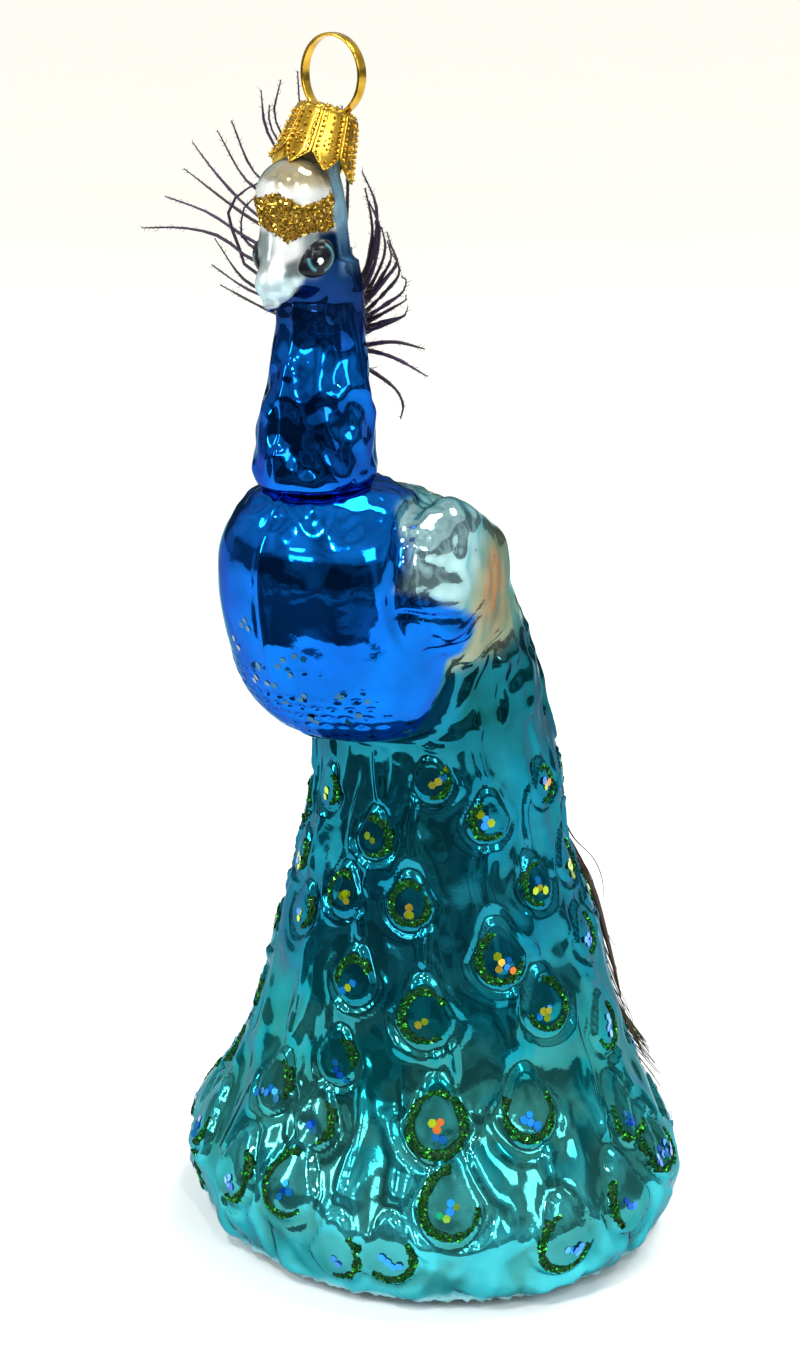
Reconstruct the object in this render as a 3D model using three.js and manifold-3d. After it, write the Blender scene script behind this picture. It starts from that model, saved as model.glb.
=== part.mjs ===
// A blown-glass peacock ornament that stands on the hem of its own train.
// Millimetres, +Z up. The bird looks along -Y, so its left side is +X.
// The origin is the middle of the flat underside of the train.
//
// The glass is modelled in the parts that a person would name: train, back,
// breast, wings, neck, head, beak and eyes. The stem of the glass goes up behind
// the head into a stamped metal cap, which holds a flat hanging ring. Real
// feathers are glued on: a crest behind the head and an eyed one down the back.

import * as THREE from 'three';
import { mergeVertices } from 'three/addons/utils/BufferGeometryUtils.js';
import Module from 'manifold-3d';

const wasm = await Module();
wasm.setup();

// ---------------------------------------------------------------- dimensions

const GAP = 0.3; // clearance between pieces that touch
const FULL_TURN = 2 * Math.PI;
const DEGREE = Math.PI / 180;
const UP = new THREE.Vector3(0, 0, 1);

// The body column, from the foot to the shoulders: each row is
// [height, centre Y, half width, depth to the front, depth to the back].
const COLUMN = [
  [0, 0, 31, 30, 28],
  [1.5, 0, 34.5, 32.5, 31],
  [5, 0, 37.5, 34.5, 33],
  [12, 0, 39.2, 36, 34],
  [16, 0, 38, 35, 33.5],
  [22, 0.6, 34.4, 32.2, 31],
  [30, 1.2, 30, 28.8, 27.6],
  [38, 1.2, 27.6, 26.4, 25.6],
  [50, 0.7, 24.2, 23.3, 23.4],
  [63, 0, 20.2, 19.5, 20],
  [77, 0, 18.2, 17.3, 18],
  [88, -2.7, 17.3, 16, 16.7],
  [97, -5.4, 16.8, 16, 15.3],
  [105, -8.1, 16, 15.5, 14.6],
  [112, -10.4, 13.8, 14, 12],
  [117, -13.1, 10, 11.5, 8.6],
  [119.8, -15.4, 6, 8, 4.5],
];
const COLUMN_SIDES = 56;
const TRAIN_TOP = 92; // height of the cut between the train and the back
const HEM_ROWS = 10; // rows of faces below HEM_TOP
const HEM_TOP = 30;
const UPPER_ROWS = 10; // rows of faces from HEM_TOP to TRAIN_TOP
const BACK_ROWS = 6;

// The breast, [height, centre Y, radius]: its keel rises towards the front.
const BREAST = [
  [83.4, -15, 5],
  [85.2, -17.2, 10.3],
  [87.6, -19.2, 12.9],
  [91.4, -20.8, 14.8],
  [96, -22, 15.8],
  [102, -23.5, 16.3],
  [109, -24.4, 16.4],
  [115, -24.7, 15.3],
  [119.3, -25, 12.5],
  [121.8, -25.6, 9.4],
];
const BREAST_ROWS = 12;
const BREAST_SIDES = 28;

// The wings, shield-shaped pads on the sides of the bird; this is the left one.
const WING_CENTRE = new THREE.Vector3(13.4, -14.6, 107.3);
const WING_HALF_LENGTH = 15.5;
const WING_HALF_HEIGHT = 11.5;
const WING_HALF_DEPTH = 4.8;
const WING_TILT = -24 * DEGREE; // its rear end is lower
const WING_TOE_IN = 8 * DEGREE; // its rear end is nearer the middle
const WING_ROWS = 6;
const WING_SIDES = 22;
const WING_FACE = 0.1; // angle from the pole to the rim of its flat face
const WING_FULLNESS = 0.6; // below 1 its face is flatter and its edge rounder

// The neck, [height, centre Y, radius], from the rim that sits on the breast.
const NECK = [
  [122.1, -28.4, 7.4],
  [122.7, -28.4, 8.1],
  [125, -28.4, 8.6],
  [135, -27.7, 7.5],
  [143, -26.8, 6.2],
  [149.2, -26.5, 5.7],
];
const NECK_ROWS = 9;
const NECK_SIDES = 22;

// The head with the round knob on its crown: [height, centre Y, half width,
// half length].
const HEAD = [
  [149.5, -28.4, 5, 6],
  [151.5, -29.6, 5.4, 6.7],
  [155, -30.4, 5.5, 6.9],
  [157.6, -30.8, 5.1, 6.2],
  [159.2, -31.6, 4.8, 5.2],
  [162, -32.2, 5.2, 5.2],
  [165, -32.2, 4.3, 4.3],
  [166.8, -32.2, 2.2, 2.2],
];
const HEAD_ROWS = 13;
const HEAD_SIDES = 24;

// The short beak that points down: [place along it from the brow, radius].
const BEAK_BROW = new THREE.Vector3(0, -34, 157);
const BEAK_TIP = new THREE.Vector3(0, -37.2, 148.6);
const BEAK_GIRTH = [
  [0, 0.9],
  [0.25, 1.9],
  [0.6, 2.7],
  [0.85, 2.5],
  [1, 1.2],
];
const BEAK_ROWS = 9;
const BEAK_SIDES = 16;

const EYE_SEAT = new THREE.Vector3(4.4, -33, 155); // left eye, inside the head's side
const EYE_FACING = new THREE.Vector3(0.88, -0.45, 0.1);
const EYE_LONG = 2.9; // half length, along the slant of the lids
const EYE_HIGH = 2.4;
const EYE_DEEP = 1.5;
const EYE_SLANT = 50 * DEGREE;
const EYE_SIDES = 16;
const EYE_ROWS = 8;

// The stem of the glass, [X, Y, height, radius], from the nape into the cap.
const STEM_SIDES = 14;
const STEM_ROWS = 7;
const STEM = [
  [0, -27, 149.5, 4.3],
  [0, -27, 156, 4.1],
  [0, -27.6, 162.3, 3.8],
  [0.1, -27.9, 165.8, 3.3],
  [0.4, -26.1, 171.2, 3],
];

// The metal cap leans back and to the bird's left.
const CAP_FOOT = new THREE.Vector3(0, -28.7, 164.9); // on the cap's axis, at the petal tips
const CAP_AXIS = new THREE.Vector3(0.07, 0.36, 0.93).normalize();
const CAP_HEIGHT = 8.9;
const CAP_WALL = 0.5;
const CAP_PETALS = 8;
const CAP_SIDES = 28;
const CAP_SLIT = 0.8; // width of the slit between two petals
const CAP_SLIT_HEIGHT = 4.6;
const CAP_SLIT_REACH = 9; // from the axis to well outside the wall
const CAP_SLIT_SIDES = 6;
const CAP_OUTSIDE = [
  [5.9, 0],
  [5.3, 2],
  [4.9, 4.4],
  [4.5, 6.8],
  [4.2, 8.2],
  [3.4, CAP_HEIGHT],
];

const RING_CENTRE = new THREE.Vector3(1, -25, 177.6);
const RING_OUTER_RADIUS = 5.55;
const RING_THICKNESS = 0.5;
const RING_BAND = 1.5; // width of the flat band
const RING_TURN = -6 * DEGREE;
const RING_SIDES = 32;

// Eyes of the train, [bearing from the front in degrees, height, radius].
// The same group goes round the train three times.
const TRAIN_EYES = [
  [-46, 17, 4],
  [-21, 15, 4.2],
  [-2, 17, 4.2],
  [13, 9, 4],
  [26, 10, 4],
  [40, 18, 4.3],
  [66, 11, 4.3],
  [85, 14, 4.2],
  [-19, 28, 3.4],
  [0, 26, 3.2],
  [36, 28, 4.1],
  [62, 29, 3.9],
  [95, 24, 3.6],
  [101, 18, 3.4],
  [3, 35, 3],
  [32, 43, 3.6],
  [74, 43, 3.6],
  [100, 36, 3.4],
  [6, 47, 3],
  [59, 51, 3.5],
  [103, 50, 3],
  [-27, 54, 2.8],
  [-4, 59, 2.8],
  [26, 59, 2.9],
  [82, 60, 2.9],
  [-42, 61, 2.8],
  [8, 68, 2.7],
  [61, 71, 2.8],
  [-24, 73, 2.5],
  [35, 77, 2.4],
  [95, 74, 2.5],
];
const GROUP_TURN = 150;
const GROUPS = 3;
const LAST_BEARING = 315; // the third group stops where the first begins
const EYE_BOSS = 1.1; // how far an eye stands out of the train

// The crest feather, in an upright plane behind the head.
const CREST_FOOT = new THREE.Vector3(0.9, -18.2, 130);
const CREST_TOP = new THREE.Vector3(-1.2, -18.6, 154);
const CREST_TURN = 12 * DEGREE;
const CREST_SHAFT_RADIUS = 0.5;
const CREST_SHAFT_SIDES = 8;
const BARB_RADIUS = 0.28;
const BARB_STEPS = 4;
const BARB_SIDES = 3;

// Barbs, [height of the root, middle sideways, middle height, tip sideways,
// tip height]. Sideways is counted from the shaft, to the bird's left.
const LEFT_BARBS = [
  [152, 1.6, 163, 0.6, 173.5],
  [151, 4.8, 157, 0.4, 166],
  [149, 3.4, 152, 4.2, 157.3],
  [147.5, 4.8, 150.5, 4, 158.4],
  [146, 4.6, 149.5, 5.2, 154],
  [145, 5.2, 148, 6.6, 152.6],
  [143, 5.4, 146, 7.4, 150.6],
  [141.6, 5.2, 143.4, 7.6, 146.6],
  [140.6, 5.6, 141.8, 9.8, 140.5],
  [139.6, 5.6, 140, 10.4, 137],
  [137.4, 6.4, 136.6, 5.4, 130.5],
];
const RIGHT_BARBS = [
  [153, -7.6, 166, -9, 176.2],
  [152.6, -10.6, 163, -11.8, 175],
  [152, -12.6, 159, -16.8, 170.6],
  [151.4, -14.4, 158.6, -19.6, 169],
  [150.8, -15, 157, -23, 167.5],
  [150.2, -17, 156.6, -25, 163.7],
  [149.4, -18.4, 156, -30.4, 159.5],
  [148.6, -21, 155.6, -33.6, 155],
  [147.6, -14, 149, -20, 154.2],
  [146.4, -14, 147.6, -21.4, 150.4],
  [144, -13, 144.6, -20.6, 147.6],
];

// The eyed feather down the back of the train.
const TAIL_TOP = 64;
const TAIL_TIP = 8;
const TAIL_THICKNESS = 0.7;
const TAIL_STAND_OFF = 1.4; // from the smooth train, clear of its bosses
const TAIL_HUG = 0.5; // 0 is flat across, 1 follows the train round
const TAIL_TURN = -12 * DEGREE; // it is glued a little to the bird's left
const TAIL_HALF_WIDTHS = [
  [TAIL_TIP, 5],
  [11, 12.5],
  [17, 18],
  [26, 17],
  [38, 14.5],
  [52, 13],
  [60, 9],
  [TAIL_TOP, 1],
];
const TAIL_ROWS = [TAIL_TIP, 9, 11, 14, 18, 24, 32, 40, 48, 54, 58, 61, TAIL_TOP];
const TAIL_COLUMNS = 8;

// ------------------------------------------------------------------- helpers

// A smooth value between the rows of a table whose first column rises.
function along(table, place, column) {
  const last = table.length - 1;
  let row = 0;
  while (row < last - 1 && place > table[row + 1][0]) {
    row += 1;
  }
  const start = table[row];
  const end = table[row + 1];
  const span = end[0] - start[0];
  const before = table[Math.max(row - 1, 0)];
  const after = table[Math.min(row + 2, last)];
  const startSlope = (end[column] - before[column]) / (end[0] - before[0]);
  const endSlope = (after[column] - start[column]) / (after[0] - start[0]);
  const t = Math.min(Math.max((place - start[0]) / span, 0), 1);
  const t2 = t * t;
  const t3 = t2 * t;
  const fromStart = (2 * t3 - 3 * t2 + 1) * start[column] + (t3 - 2 * t2 + t) * span * startSlope;
  const fromEnd = (3 * t2 - 2 * t3) * end[column] + (t3 - t2) * span * endSlope;
  return fromStart + fromEnd;
}

function volumeOf(position, index) {
  const a = new THREE.Vector3();
  const b = new THREE.Vector3();
  const c = new THREE.Vector3();
  let sum = 0;
  for (let face = 0; face < index.length; face += 3) {
    a.fromArray(position, 3 * index[face]);
    b.fromArray(position, 3 * index[face + 1]);
    c.fromArray(position, 3 * index[face + 2]);
    sum += a.dot(b.cross(c)) / 6;
  }
  return sum;
}

// A closed solid, with its faces turned outwards.
function solidFrom(position, index) {
  const faces = [...index];
  if (volumeOf(position, faces) < 0) {
    for (let face = 0; face < faces.length; face += 3) {
      const first = faces[face];
      faces[face] = faces[face + 1];
      faces[face + 1] = first;
    }
  }
  return new wasm.Manifold(new wasm.Mesh({
    numProp: 3,
    vertProperties: new Float32Array(position),
    triVerts: new Uint32Array(faces),
  }));
}

// Rings of points, joined from the first to the last and closed at both ends.
function loft(rings) {
  const sides = rings[0].length;
  const position = [];
  const index = [];
  for (const ring of rings) {
    for (const point of ring) {
      position.push(point.x, point.y, point.z);
    }
  }
  for (let row = 0; row < rings.length - 1; row += 1) {
    for (let side = 0; side < sides; side += 1) {
      const next = (side + 1) % sides;
      const low = row * sides;
      const high = low + sides;
      index.push(low + side, low + next, high + next);
      index.push(low + side, high + next, high + side);
    }
  }
  for (const end of [0, rings.length - 1]) {
    const middle = new THREE.Vector3();
    for (const point of rings[end]) {
      middle.addScaledVector(point, 1 / sides);
    }
    const hub = position.length / 3;
    position.push(middle.x, middle.y, middle.z);
    for (let side = 0; side < sides; side += 1) {
      const here = end * sides + side;
      const next = end * sides + ((side + 1) % sides);
      index.push(...(end === 0 ? [hub, next, here] : [hub, here, next]));
    }
  }
  return solidFrom(position, index);
}

// A level ring; angles are counted from the front towards the bird's left.
function levelRing(sides, height, centreY, reachAt) {
  return Array.from({ length: sides }, (_, side) => {
    const angle = (FULL_TURN * side) / sides;
    const reach = reachAt(angle);
    return new THREE.Vector3(
      reach * Math.sin(angle),
      centreY - reach * Math.cos(angle),
      height,
    );
  });
}

function ovalReach(angle, halfWidth, halfLength) {
  return 1 / Math.hypot(Math.sin(angle) / halfWidth, Math.cos(angle) / halfLength);
}

function spread(from, to, count) {
  return Array.from({ length: count + 1 }, (_, step) => from + ((to - from) * step) / count);
}

// Closer steps near both ends, as on a dome.
function domeSpread(from, to, count) {
  return spread(0, Math.PI, count).map((t) => from + ((to - from) * (1 - Math.cos(t))) / 2);
}

function solidOf(geometry) {
  geometry.deleteAttribute('normal');
  geometry.deleteAttribute('uv');
  const merged = mergeVertices(geometry, 1e-4);
  return solidFrom([...merged.attributes.position.array], [...merged.index.array]);
}

// A cut solid; slivers that the cuts leave beside it are dropped.
function without(solid, ...others) {
  const cut = others.reduce((left, other) => left.subtract(other), solid);
  const pieces = cut.decompose();
  return pieces.reduce((most, piece) => (piece.volume() > most.volume() ? piece : most));
}

function placed(solid, matrix) {
  return solid.transform([...matrix.elements]);
}

// A round rod along points, with a radius at each, square to its path.
function rod(points, radii, sides) {
  const rings = points.map((point, step) => {
    const before = points[Math.max(step - 1, 0)];
    const after = points[Math.min(step + 1, points.length - 1)];
    const ahead = after.clone().sub(before).normalize();
    const across = new THREE.Vector3(0, 1, 0).addScaledVector(ahead, -ahead.y).normalize();
    const up = ahead.clone().cross(across);
    return Array.from({ length: sides }, (_, side) => {
      const angle = (FULL_TURN * side) / sides;
      return point.clone()
        .addScaledVector(across, radii[step] * Math.cos(angle))
        .addScaledVector(up, radii[step] * Math.sin(angle));
    });
  });
  return loft(rings);
}

// --------------------------------------------------------------- glass forms

function columnReach(angle, height) {
  const depth = Math.cos(angle) > 0 ? 3 : 4;
  return ovalReach(angle, along(COLUMN, height, 2), along(COLUMN, height, depth));
}

function trainEyes() {
  const eyes = [];
  for (let group = 0; group < GROUPS; group += 1) {
    for (const [bearing, height, radius] of TRAIN_EYES) {
      const turned = bearing + group * GROUP_TURN;
      if (turned < LAST_BEARING) {
        eyes.push([turned * DEGREE, height, radius]);
      }
    }
  }
  return eyes;
}

// How far the embossed eyes stand out of the smooth train.
function trainRelief(eyes, angle, height, reach) {
  let relief = 0;
  for (const [bearing, eyeHeight, radius] of eyes) {
    const turn = Math.atan2(Math.sin(angle - bearing), Math.cos(angle - bearing));
    const distance = Math.hypot(turn * reach, height - eyeHeight) / radius;
    relief = Math.max(relief, EYE_BOSS * Math.exp(-(distance ** 4)));
  }
  return relief;
}

function column(heights, grow, relief) {
  const rings = heights.map((height) => levelRing(
    COLUMN_SIDES,
    height,
    along(COLUMN, height, 1),
    (angle) => {
      const reach = columnReach(angle, height);
      return reach + grow + relief(angle, height, reach);
    },
  ));
  return loft(rings);
}

function plain() {
  return 0;
}

function breastForm(grow) {
  const low = BREAST[0][0];
  const high = BREAST[BREAST.length - 1][0];
  const rings = domeSpread(low, high, BREAST_ROWS).map((height) => {
    const level = height + (grow * (2 * height - low - high)) / (high - low);
    const radius = along(BREAST, height, 2) + grow;
    return levelRing(BREAST_SIDES, level, along(BREAST, height, 1), () => radius);
  });
  return loft(rings);
}

function trainForm(grow) {
  const eyes = trainEyes();
  const hem = spread(0, 1, HEM_ROWS).map((part) => HEM_TOP * part ** 1.6);
  const upper = spread(HEM_TOP, TRAIN_TOP, UPPER_ROWS).slice(1);
  return column(
    [...hem, ...upper],
    grow,
    (angle, height, reach) => trainRelief(eyes, angle, height, reach),
  );
}

function backForm(grow) {
  const top = COLUMN[COLUMN.length - 1][0];
  return column(domeSpread(TRAIN_TOP + GAP, top, BACK_ROWS), grow, plain);
}

// One wing; side is 1 for the left one.
function wingForm(side, grow) {
  const rings = spread(WING_FACE, Math.PI - WING_FACE, WING_ROWS).map((polar) => Array.from(
    { length: WING_SIDES },
    (_, step) => {
      const angle = (FULL_TURN * step) / WING_SIDES;
      const outline = Math.sin(polar) ** WING_FULLNESS;
      return new THREE.Vector3(
        (WING_HALF_DEPTH + grow) * Math.cos(polar),
        (WING_HALF_LENGTH + grow) * outline * Math.cos(angle),
        (WING_HALF_HEIGHT + grow) * outline * Math.sin(angle),
      );
    },
  ));
  const pose = new THREE.Matrix4().makeTranslation(WING_CENTRE)
    .multiply(new THREE.Matrix4().makeRotationZ(WING_TOE_IN))
    .multiply(new THREE.Matrix4().makeRotationX(WING_TILT));
  const mirror = new THREE.Matrix4().makeScale(side, 1, 1);
  return placed(loft(rings), mirror.multiply(pose));
}

function neckForm() {
  const low = NECK[0][0];
  const high = NECK[NECK.length - 1][0];
  const heights = [low, NECK[1][0], ...spread(NECK[2][0], high, NECK_ROWS - 2)];
  return loft(heights.map((height) => {
    const radius = along(NECK, height, 2);
    return levelRing(NECK_SIDES, height, along(NECK, height, 1), () => radius);
  }));
}

function headForm(grow) {
  const low = HEAD[0][0];
  const high = HEAD[HEAD.length - 1][0];
  return loft(domeSpread(low, high, HEAD_ROWS).map((height) => {
    const level = height + (grow * (2 * height - low - high)) / (high - low);
    const halfWidth = along(HEAD, height, 2) + grow;
    const halfLength = along(HEAD, height, 3) + grow;
    const reachAt = (angle) => ovalReach(angle, halfWidth, halfLength);
    return levelRing(HEAD_SIDES, level, along(HEAD, height, 1), reachAt);
  }));
}

function beakForm() {
  const places = domeSpread(0, 1, BEAK_ROWS);
  const points = places.map((place) => BEAK_BROW.clone().lerp(BEAK_TIP, place));
  return rod(points, places.map((place) => along(BEAK_GIRTH, place, 1)), BEAK_SIDES);
}

function eyeForm(side) {
  const facing = EYE_FACING.clone().normalize();
  const level = UP.clone().cross(facing).normalize();
  const basis = new THREE.Matrix4().makeBasis(level, facing.clone().cross(level), facing);
  const pose = new THREE.Matrix4().makeTranslation(EYE_SEAT)
    .multiply(basis)
    .multiply(new THREE.Matrix4().makeRotationZ(EYE_SLANT))
    .multiply(new THREE.Matrix4().makeScale(EYE_LONG, EYE_HIGH, EYE_DEEP));
  const mirror = new THREE.Matrix4().makeScale(side, 1, 1);
  return placed(solidOf(new THREE.SphereGeometry(1, EYE_SIDES, EYE_ROWS)), mirror.multiply(pose));
}

function stemForm(grow) {
  const heights = spread(STEM[0][2], STEM[STEM.length - 1][2], STEM_ROWS);
  const table = STEM.map(([x, y, height, radius]) => [height, x, y, radius]);
  return loft(heights.map((height) => {
    const radius = along(table, height, 3) + grow;
    const shift = along(table, height, 1);
    return levelRing(STEM_SIDES, height, along(table, height, 2), () => radius)
      .map((point) => point.setX(point.x + shift));
  }));
}

// --------------------------------------------------------------- metal forms

function capPose() {
  const turn = new THREE.Quaternion().setFromUnitVectors(UP, CAP_AXIS);
  return new THREE.Matrix4().compose(CAP_FOOT, turn, new THREE.Vector3(1, 1, 1));
}

function turned(outline, segments) {
  const profile = outline.map(([radius, height]) => new THREE.Vector2(radius, height));
  const geometry = new THREE.LatheGeometry(profile, segments);
  return solidOf(geometry.rotateX(Math.PI / 2));
}

// A thin shell with slits from its lower edge up between the petals.
function capForm() {
  const inside = CAP_OUTSIDE.map(([radius, height]) => [
    radius - CAP_WALL,
    Math.min(height, CAP_HEIGHT - CAP_WALL),
  ]).reverse();
  const outline = [...CAP_OUTSIDE, [0, CAP_HEIGHT], [0, CAP_HEIGHT - CAP_WALL], ...inside];
  let cap = turned([...outline, CAP_OUTSIDE[0]], CAP_SIDES);
  for (let petal = 0; petal < CAP_PETALS; petal += 1) {
    const slit = new THREE.CylinderGeometry(1, 1, CAP_SLIT_REACH, CAP_SLIT_SIDES)
      .scale(CAP_SLIT / 2, 1, CAP_SLIT_HEIGHT)
      .translate(0, CAP_SLIT_REACH / 2, 0)
      .rotateZ((FULL_TURN * petal) / CAP_PETALS);
    cap = cap.subtract(solidOf(slit));
  }
  return placed(cap, capPose());
}

// The cap's outer shape without its hollow, a little larger, to cut the ring.
function capEnvelope() {
  const outline = CAP_OUTSIDE.map(([radius, height]) => [radius + GAP, height]);
  const top = CAP_HEIGHT + GAP;
  outline[outline.length - 1][1] = top;
  return placed(turned([[0, 0], ...outline, [0, top]], CAP_SIDES), capPose());
}

function ringForm() {
  const inner = RING_OUTER_RADIUS - RING_THICKNESS;
  const half = RING_BAND / 2;
  const outline = [
    [inner, -half],
    [RING_OUTER_RADIUS, -half],
    [RING_OUTER_RADIUS, half],
    [inner, half],
    [inner, -half],
  ];
  const pose = new THREE.Matrix4().makeTranslation(RING_CENTRE)
    .multiply(new THREE.Matrix4().makeRotationZ(RING_TURN))
    .multiply(new THREE.Matrix4().makeRotationX(Math.PI / 2));
  return placed(turned(outline, RING_SIDES), pose);
}

// ------------------------------------------------------------- feather forms

function crestPoint(sideways, height) {
  const rise = (height - CREST_FOOT.z) / (CREST_TOP.z - CREST_FOOT.z);
  const shaft = CREST_FOOT.clone().lerp(CREST_TOP, Math.min(rise, 1));
  return new THREE.Vector3(
    shaft.x + sideways * Math.cos(CREST_TURN),
    shaft.y + sideways * Math.sin(CREST_TURN),
    height,
  );
}

function barbForm([rootHeight, middleOut, middleHeight, tipOut, tipHeight]) {
  const curve = new THREE.QuadraticBezierCurve3(
    crestPoint(0, rootHeight),
    crestPoint(middleOut, middleHeight),
    crestPoint(tipOut, tipHeight),
  );
  const points = curve.getPoints(BARB_STEPS);
  return rod(points, points.map(() => BARB_RADIUS), BARB_SIDES);
}

// The shaft with every barb joined to it.
function crestForm() {
  const points = [CREST_FOOT, CREST_FOOT.clone().lerp(CREST_TOP, 0.5), CREST_TOP];
  const shaft = rod(points, points.map(() => CREST_SHAFT_RADIUS), CREST_SHAFT_SIDES);
  const barbs = [...LEFT_BARBS, ...RIGHT_BARBS].map(barbForm);
  return barbs.reduce((whole, barb) => whole.add(barb), shaft);
}

function tailPoint(sideways, height, lift) {
  const middle = along(COLUMN, height, 1) + along(COLUMN, height, 4);
  const halfWidth = along(COLUMN, height, 2);
  const level = Math.sqrt(Math.max(1 - (sideways / halfWidth) ** 2, 0));
  const round = along(COLUMN, height, 1) + along(COLUMN, height, 4) * level;
  const depth = middle + TAIL_HUG * (round - middle) + TAIL_STAND_OFF + lift;
  return new THREE.Vector3(sideways, depth, height).applyAxisAngle(UP, TAIL_TURN);
}

// A thin curved plate with the outline of the vane.
function tailForm() {
  const across = spread(-1, 1, TAIL_COLUMNS);
  return loft(TAIL_ROWS.map((height) => {
    const halfWidth = along(TAIL_HALF_WIDTHS, height, 1);
    const far = across.map((part) => tailPoint(part * halfWidth, height, TAIL_THICKNESS));
    const near = across.map((part) => tailPoint(part * halfWidth, height, 0)).reverse();
    return [...far, ...near];
  }));
}

// ------------------------------------------------------------------ the part

const ornament = new THREE.Group();

function addPiece(name, solid, finish) {
  const mesh = solid.getMesh();
  const geometry = new THREE.BufferGeometry();
  geometry.setAttribute('position', new THREE.BufferAttribute(mesh.vertProperties, 3));
  geometry.setIndex(new THREE.BufferAttribute(mesh.triVerts, 1));
  geometry.computeVertexNormals();
  const piece = new THREE.Mesh(geometry, new THREE.MeshStandardMaterial(finish));
  piece.name = name;
  ornament.add(piece);
}

const TEAL_GLASS = { color: 0x0b8a9c, roughness: 0.18, metalness: 0.8 };
const COBALT_GLASS = { color: 0x0a4fd0, roughness: 0.12, metalness: 0.8 };
const SILVER_GLASS = { color: 0xb9cfc6, roughness: 0.2, metalness: 0.8 };
const PEARL_GLASS = { color: 0xd9dee0, roughness: 0.25, metalness: 0.6 };
const BLACK_PAINT = { color: 0x08080a, roughness: 0.15, metalness: 0 };
const GILT = { color: 0xd0a02a, roughness: 0.3, metalness: 1 };
const DARK_FEATHER = { color: 0x1c0a18, roughness: 0.7, metalness: 0 };
const TAIL_FEATHER = { color: 0x2b3d2a, roughness: 0.6, metalness: 0 };

const LEFT = 1;
const RIGHT = -1;

const train = without(trainForm(0), breastForm(GAP));
addPiece('train', train, TEAL_GLASS);
const back = without(backForm(0), breastForm(GAP));
addPiece('back', back, SILVER_GLASS);
addPiece('breast', breastForm(0), COBALT_GLASS);
// The wings lie on the breast and the back, and just reach the top of the train.
const trainUnderWings = column([70, 80, TRAIN_TOP + 2 * GAP], GAP, plain);
const body = [breastForm(GAP), backForm(GAP), trainUnderWings];
addPiece('wing_left', without(wingForm(LEFT, 0), ...body), SILVER_GLASS);
addPiece('wing_right', without(wingForm(RIGHT, 0), ...body), SILVER_GLASS);
addPiece('neck', neckForm(), COBALT_GLASS);
addPiece('stem', stemForm(0), SILVER_GLASS);
addPiece('head', without(headForm(0), stemForm(GAP), capEnvelope()), PEARL_GLASS);
addPiece('beak', without(beakForm(), headForm(GAP)), PEARL_GLASS);
addPiece('eye_left', without(eyeForm(LEFT), headForm(GAP)), BLACK_PAINT);
addPiece('eye_right', without(eyeForm(RIGHT), headForm(GAP)), BLACK_PAINT);
addPiece('cap', capForm(), GILT);
addPiece('hanger_ring', without(ringForm(), capEnvelope()), GILT);
addPiece('crest_feather', crestForm(), DARK_FEATHER);
addPiece('tail_feather', without(tailForm(), trainForm(GAP)), TAIL_FEATHER);

export default ornament;
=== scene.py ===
import math

import bpy
import numpy as np
from mathutils import Matrix, Vector, noise
from mathutils.bvhtree import BVHTree


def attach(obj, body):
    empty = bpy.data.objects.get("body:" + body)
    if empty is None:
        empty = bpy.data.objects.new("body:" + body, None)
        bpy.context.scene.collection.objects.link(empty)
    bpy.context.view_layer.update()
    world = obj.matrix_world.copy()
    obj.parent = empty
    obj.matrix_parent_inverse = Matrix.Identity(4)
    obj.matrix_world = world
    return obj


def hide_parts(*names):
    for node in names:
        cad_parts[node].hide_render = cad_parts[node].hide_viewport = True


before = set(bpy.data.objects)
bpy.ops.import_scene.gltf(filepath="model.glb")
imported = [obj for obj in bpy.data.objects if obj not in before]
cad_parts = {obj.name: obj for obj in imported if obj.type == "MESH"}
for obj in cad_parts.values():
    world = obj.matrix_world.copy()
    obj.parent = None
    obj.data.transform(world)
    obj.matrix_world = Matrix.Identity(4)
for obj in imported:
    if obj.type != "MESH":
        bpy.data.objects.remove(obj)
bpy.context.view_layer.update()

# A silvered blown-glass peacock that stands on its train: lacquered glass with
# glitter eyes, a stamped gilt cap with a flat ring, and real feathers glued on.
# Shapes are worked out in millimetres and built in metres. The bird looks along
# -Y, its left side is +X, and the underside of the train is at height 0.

MM = 0.001
FULL_TURN = 2 * math.pi

# ---- the forms

# Body column: [height, centre Y, half width, depth in front, depth behind].
COLUMN = [
    [0, 0, 31, 30, 28], [1.5, 0, 34.5, 32.5, 31], [5, 0, 37.5, 34.5, 33], [12, 0, 39.2, 36, 34],
    [16, 0, 38, 35, 33.5], [22, 0.6, 34.4, 32.2, 31], [30, 1.2, 30, 28.8, 27.6],
    [38, 1.2, 27.6, 26.4, 25.6], [50, 0.7, 24.2, 23.3, 23.4], [63, 0, 20.2, 19.5, 20],
    [77, 0, 18.2, 17.3, 18], [88, -2.7, 17.3, 16, 16.7], [97, -5.4, 16.8, 16, 15.3],
    [105, -8.1, 16, 15.5, 14.6], [112, -10.4, 13.8, 14, 12], [117, -13.1, 10, 11.5, 8.6],
    [119.8, -15.4, 6, 8, 4.5], [120.9, -16.5, 1.5, 2, 1],
]

# Breast: [height, centre Y, radius]. Neck: the same.
BREAST = [
    [82.8, -14.6, 2], [83.4, -15, 5], [85.2, -17.2, 10.3], [87.6, -19.2, 12.9],
    [91.4, -20.8, 14.8], [96, -22, 15.8], [102, -23.5, 16.3], [109, -24.4, 16.4],
    [115, -24.7, 15.3], [119.3, -25, 12.5], [121.8, -25.6, 9.4], [122.6, -26, 5],
]
NECK = [
    [121.7, -28.4, 5.8], [122.3, -28.4, 7.4], [123, -28.4, 8.2], [125, -28.4, 8.65],
    [135, -27.7, 7.5], [143, -26.8, 6.2], [149.2, -26.5, 5.7], [153, -27, 5.2],
]

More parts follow.
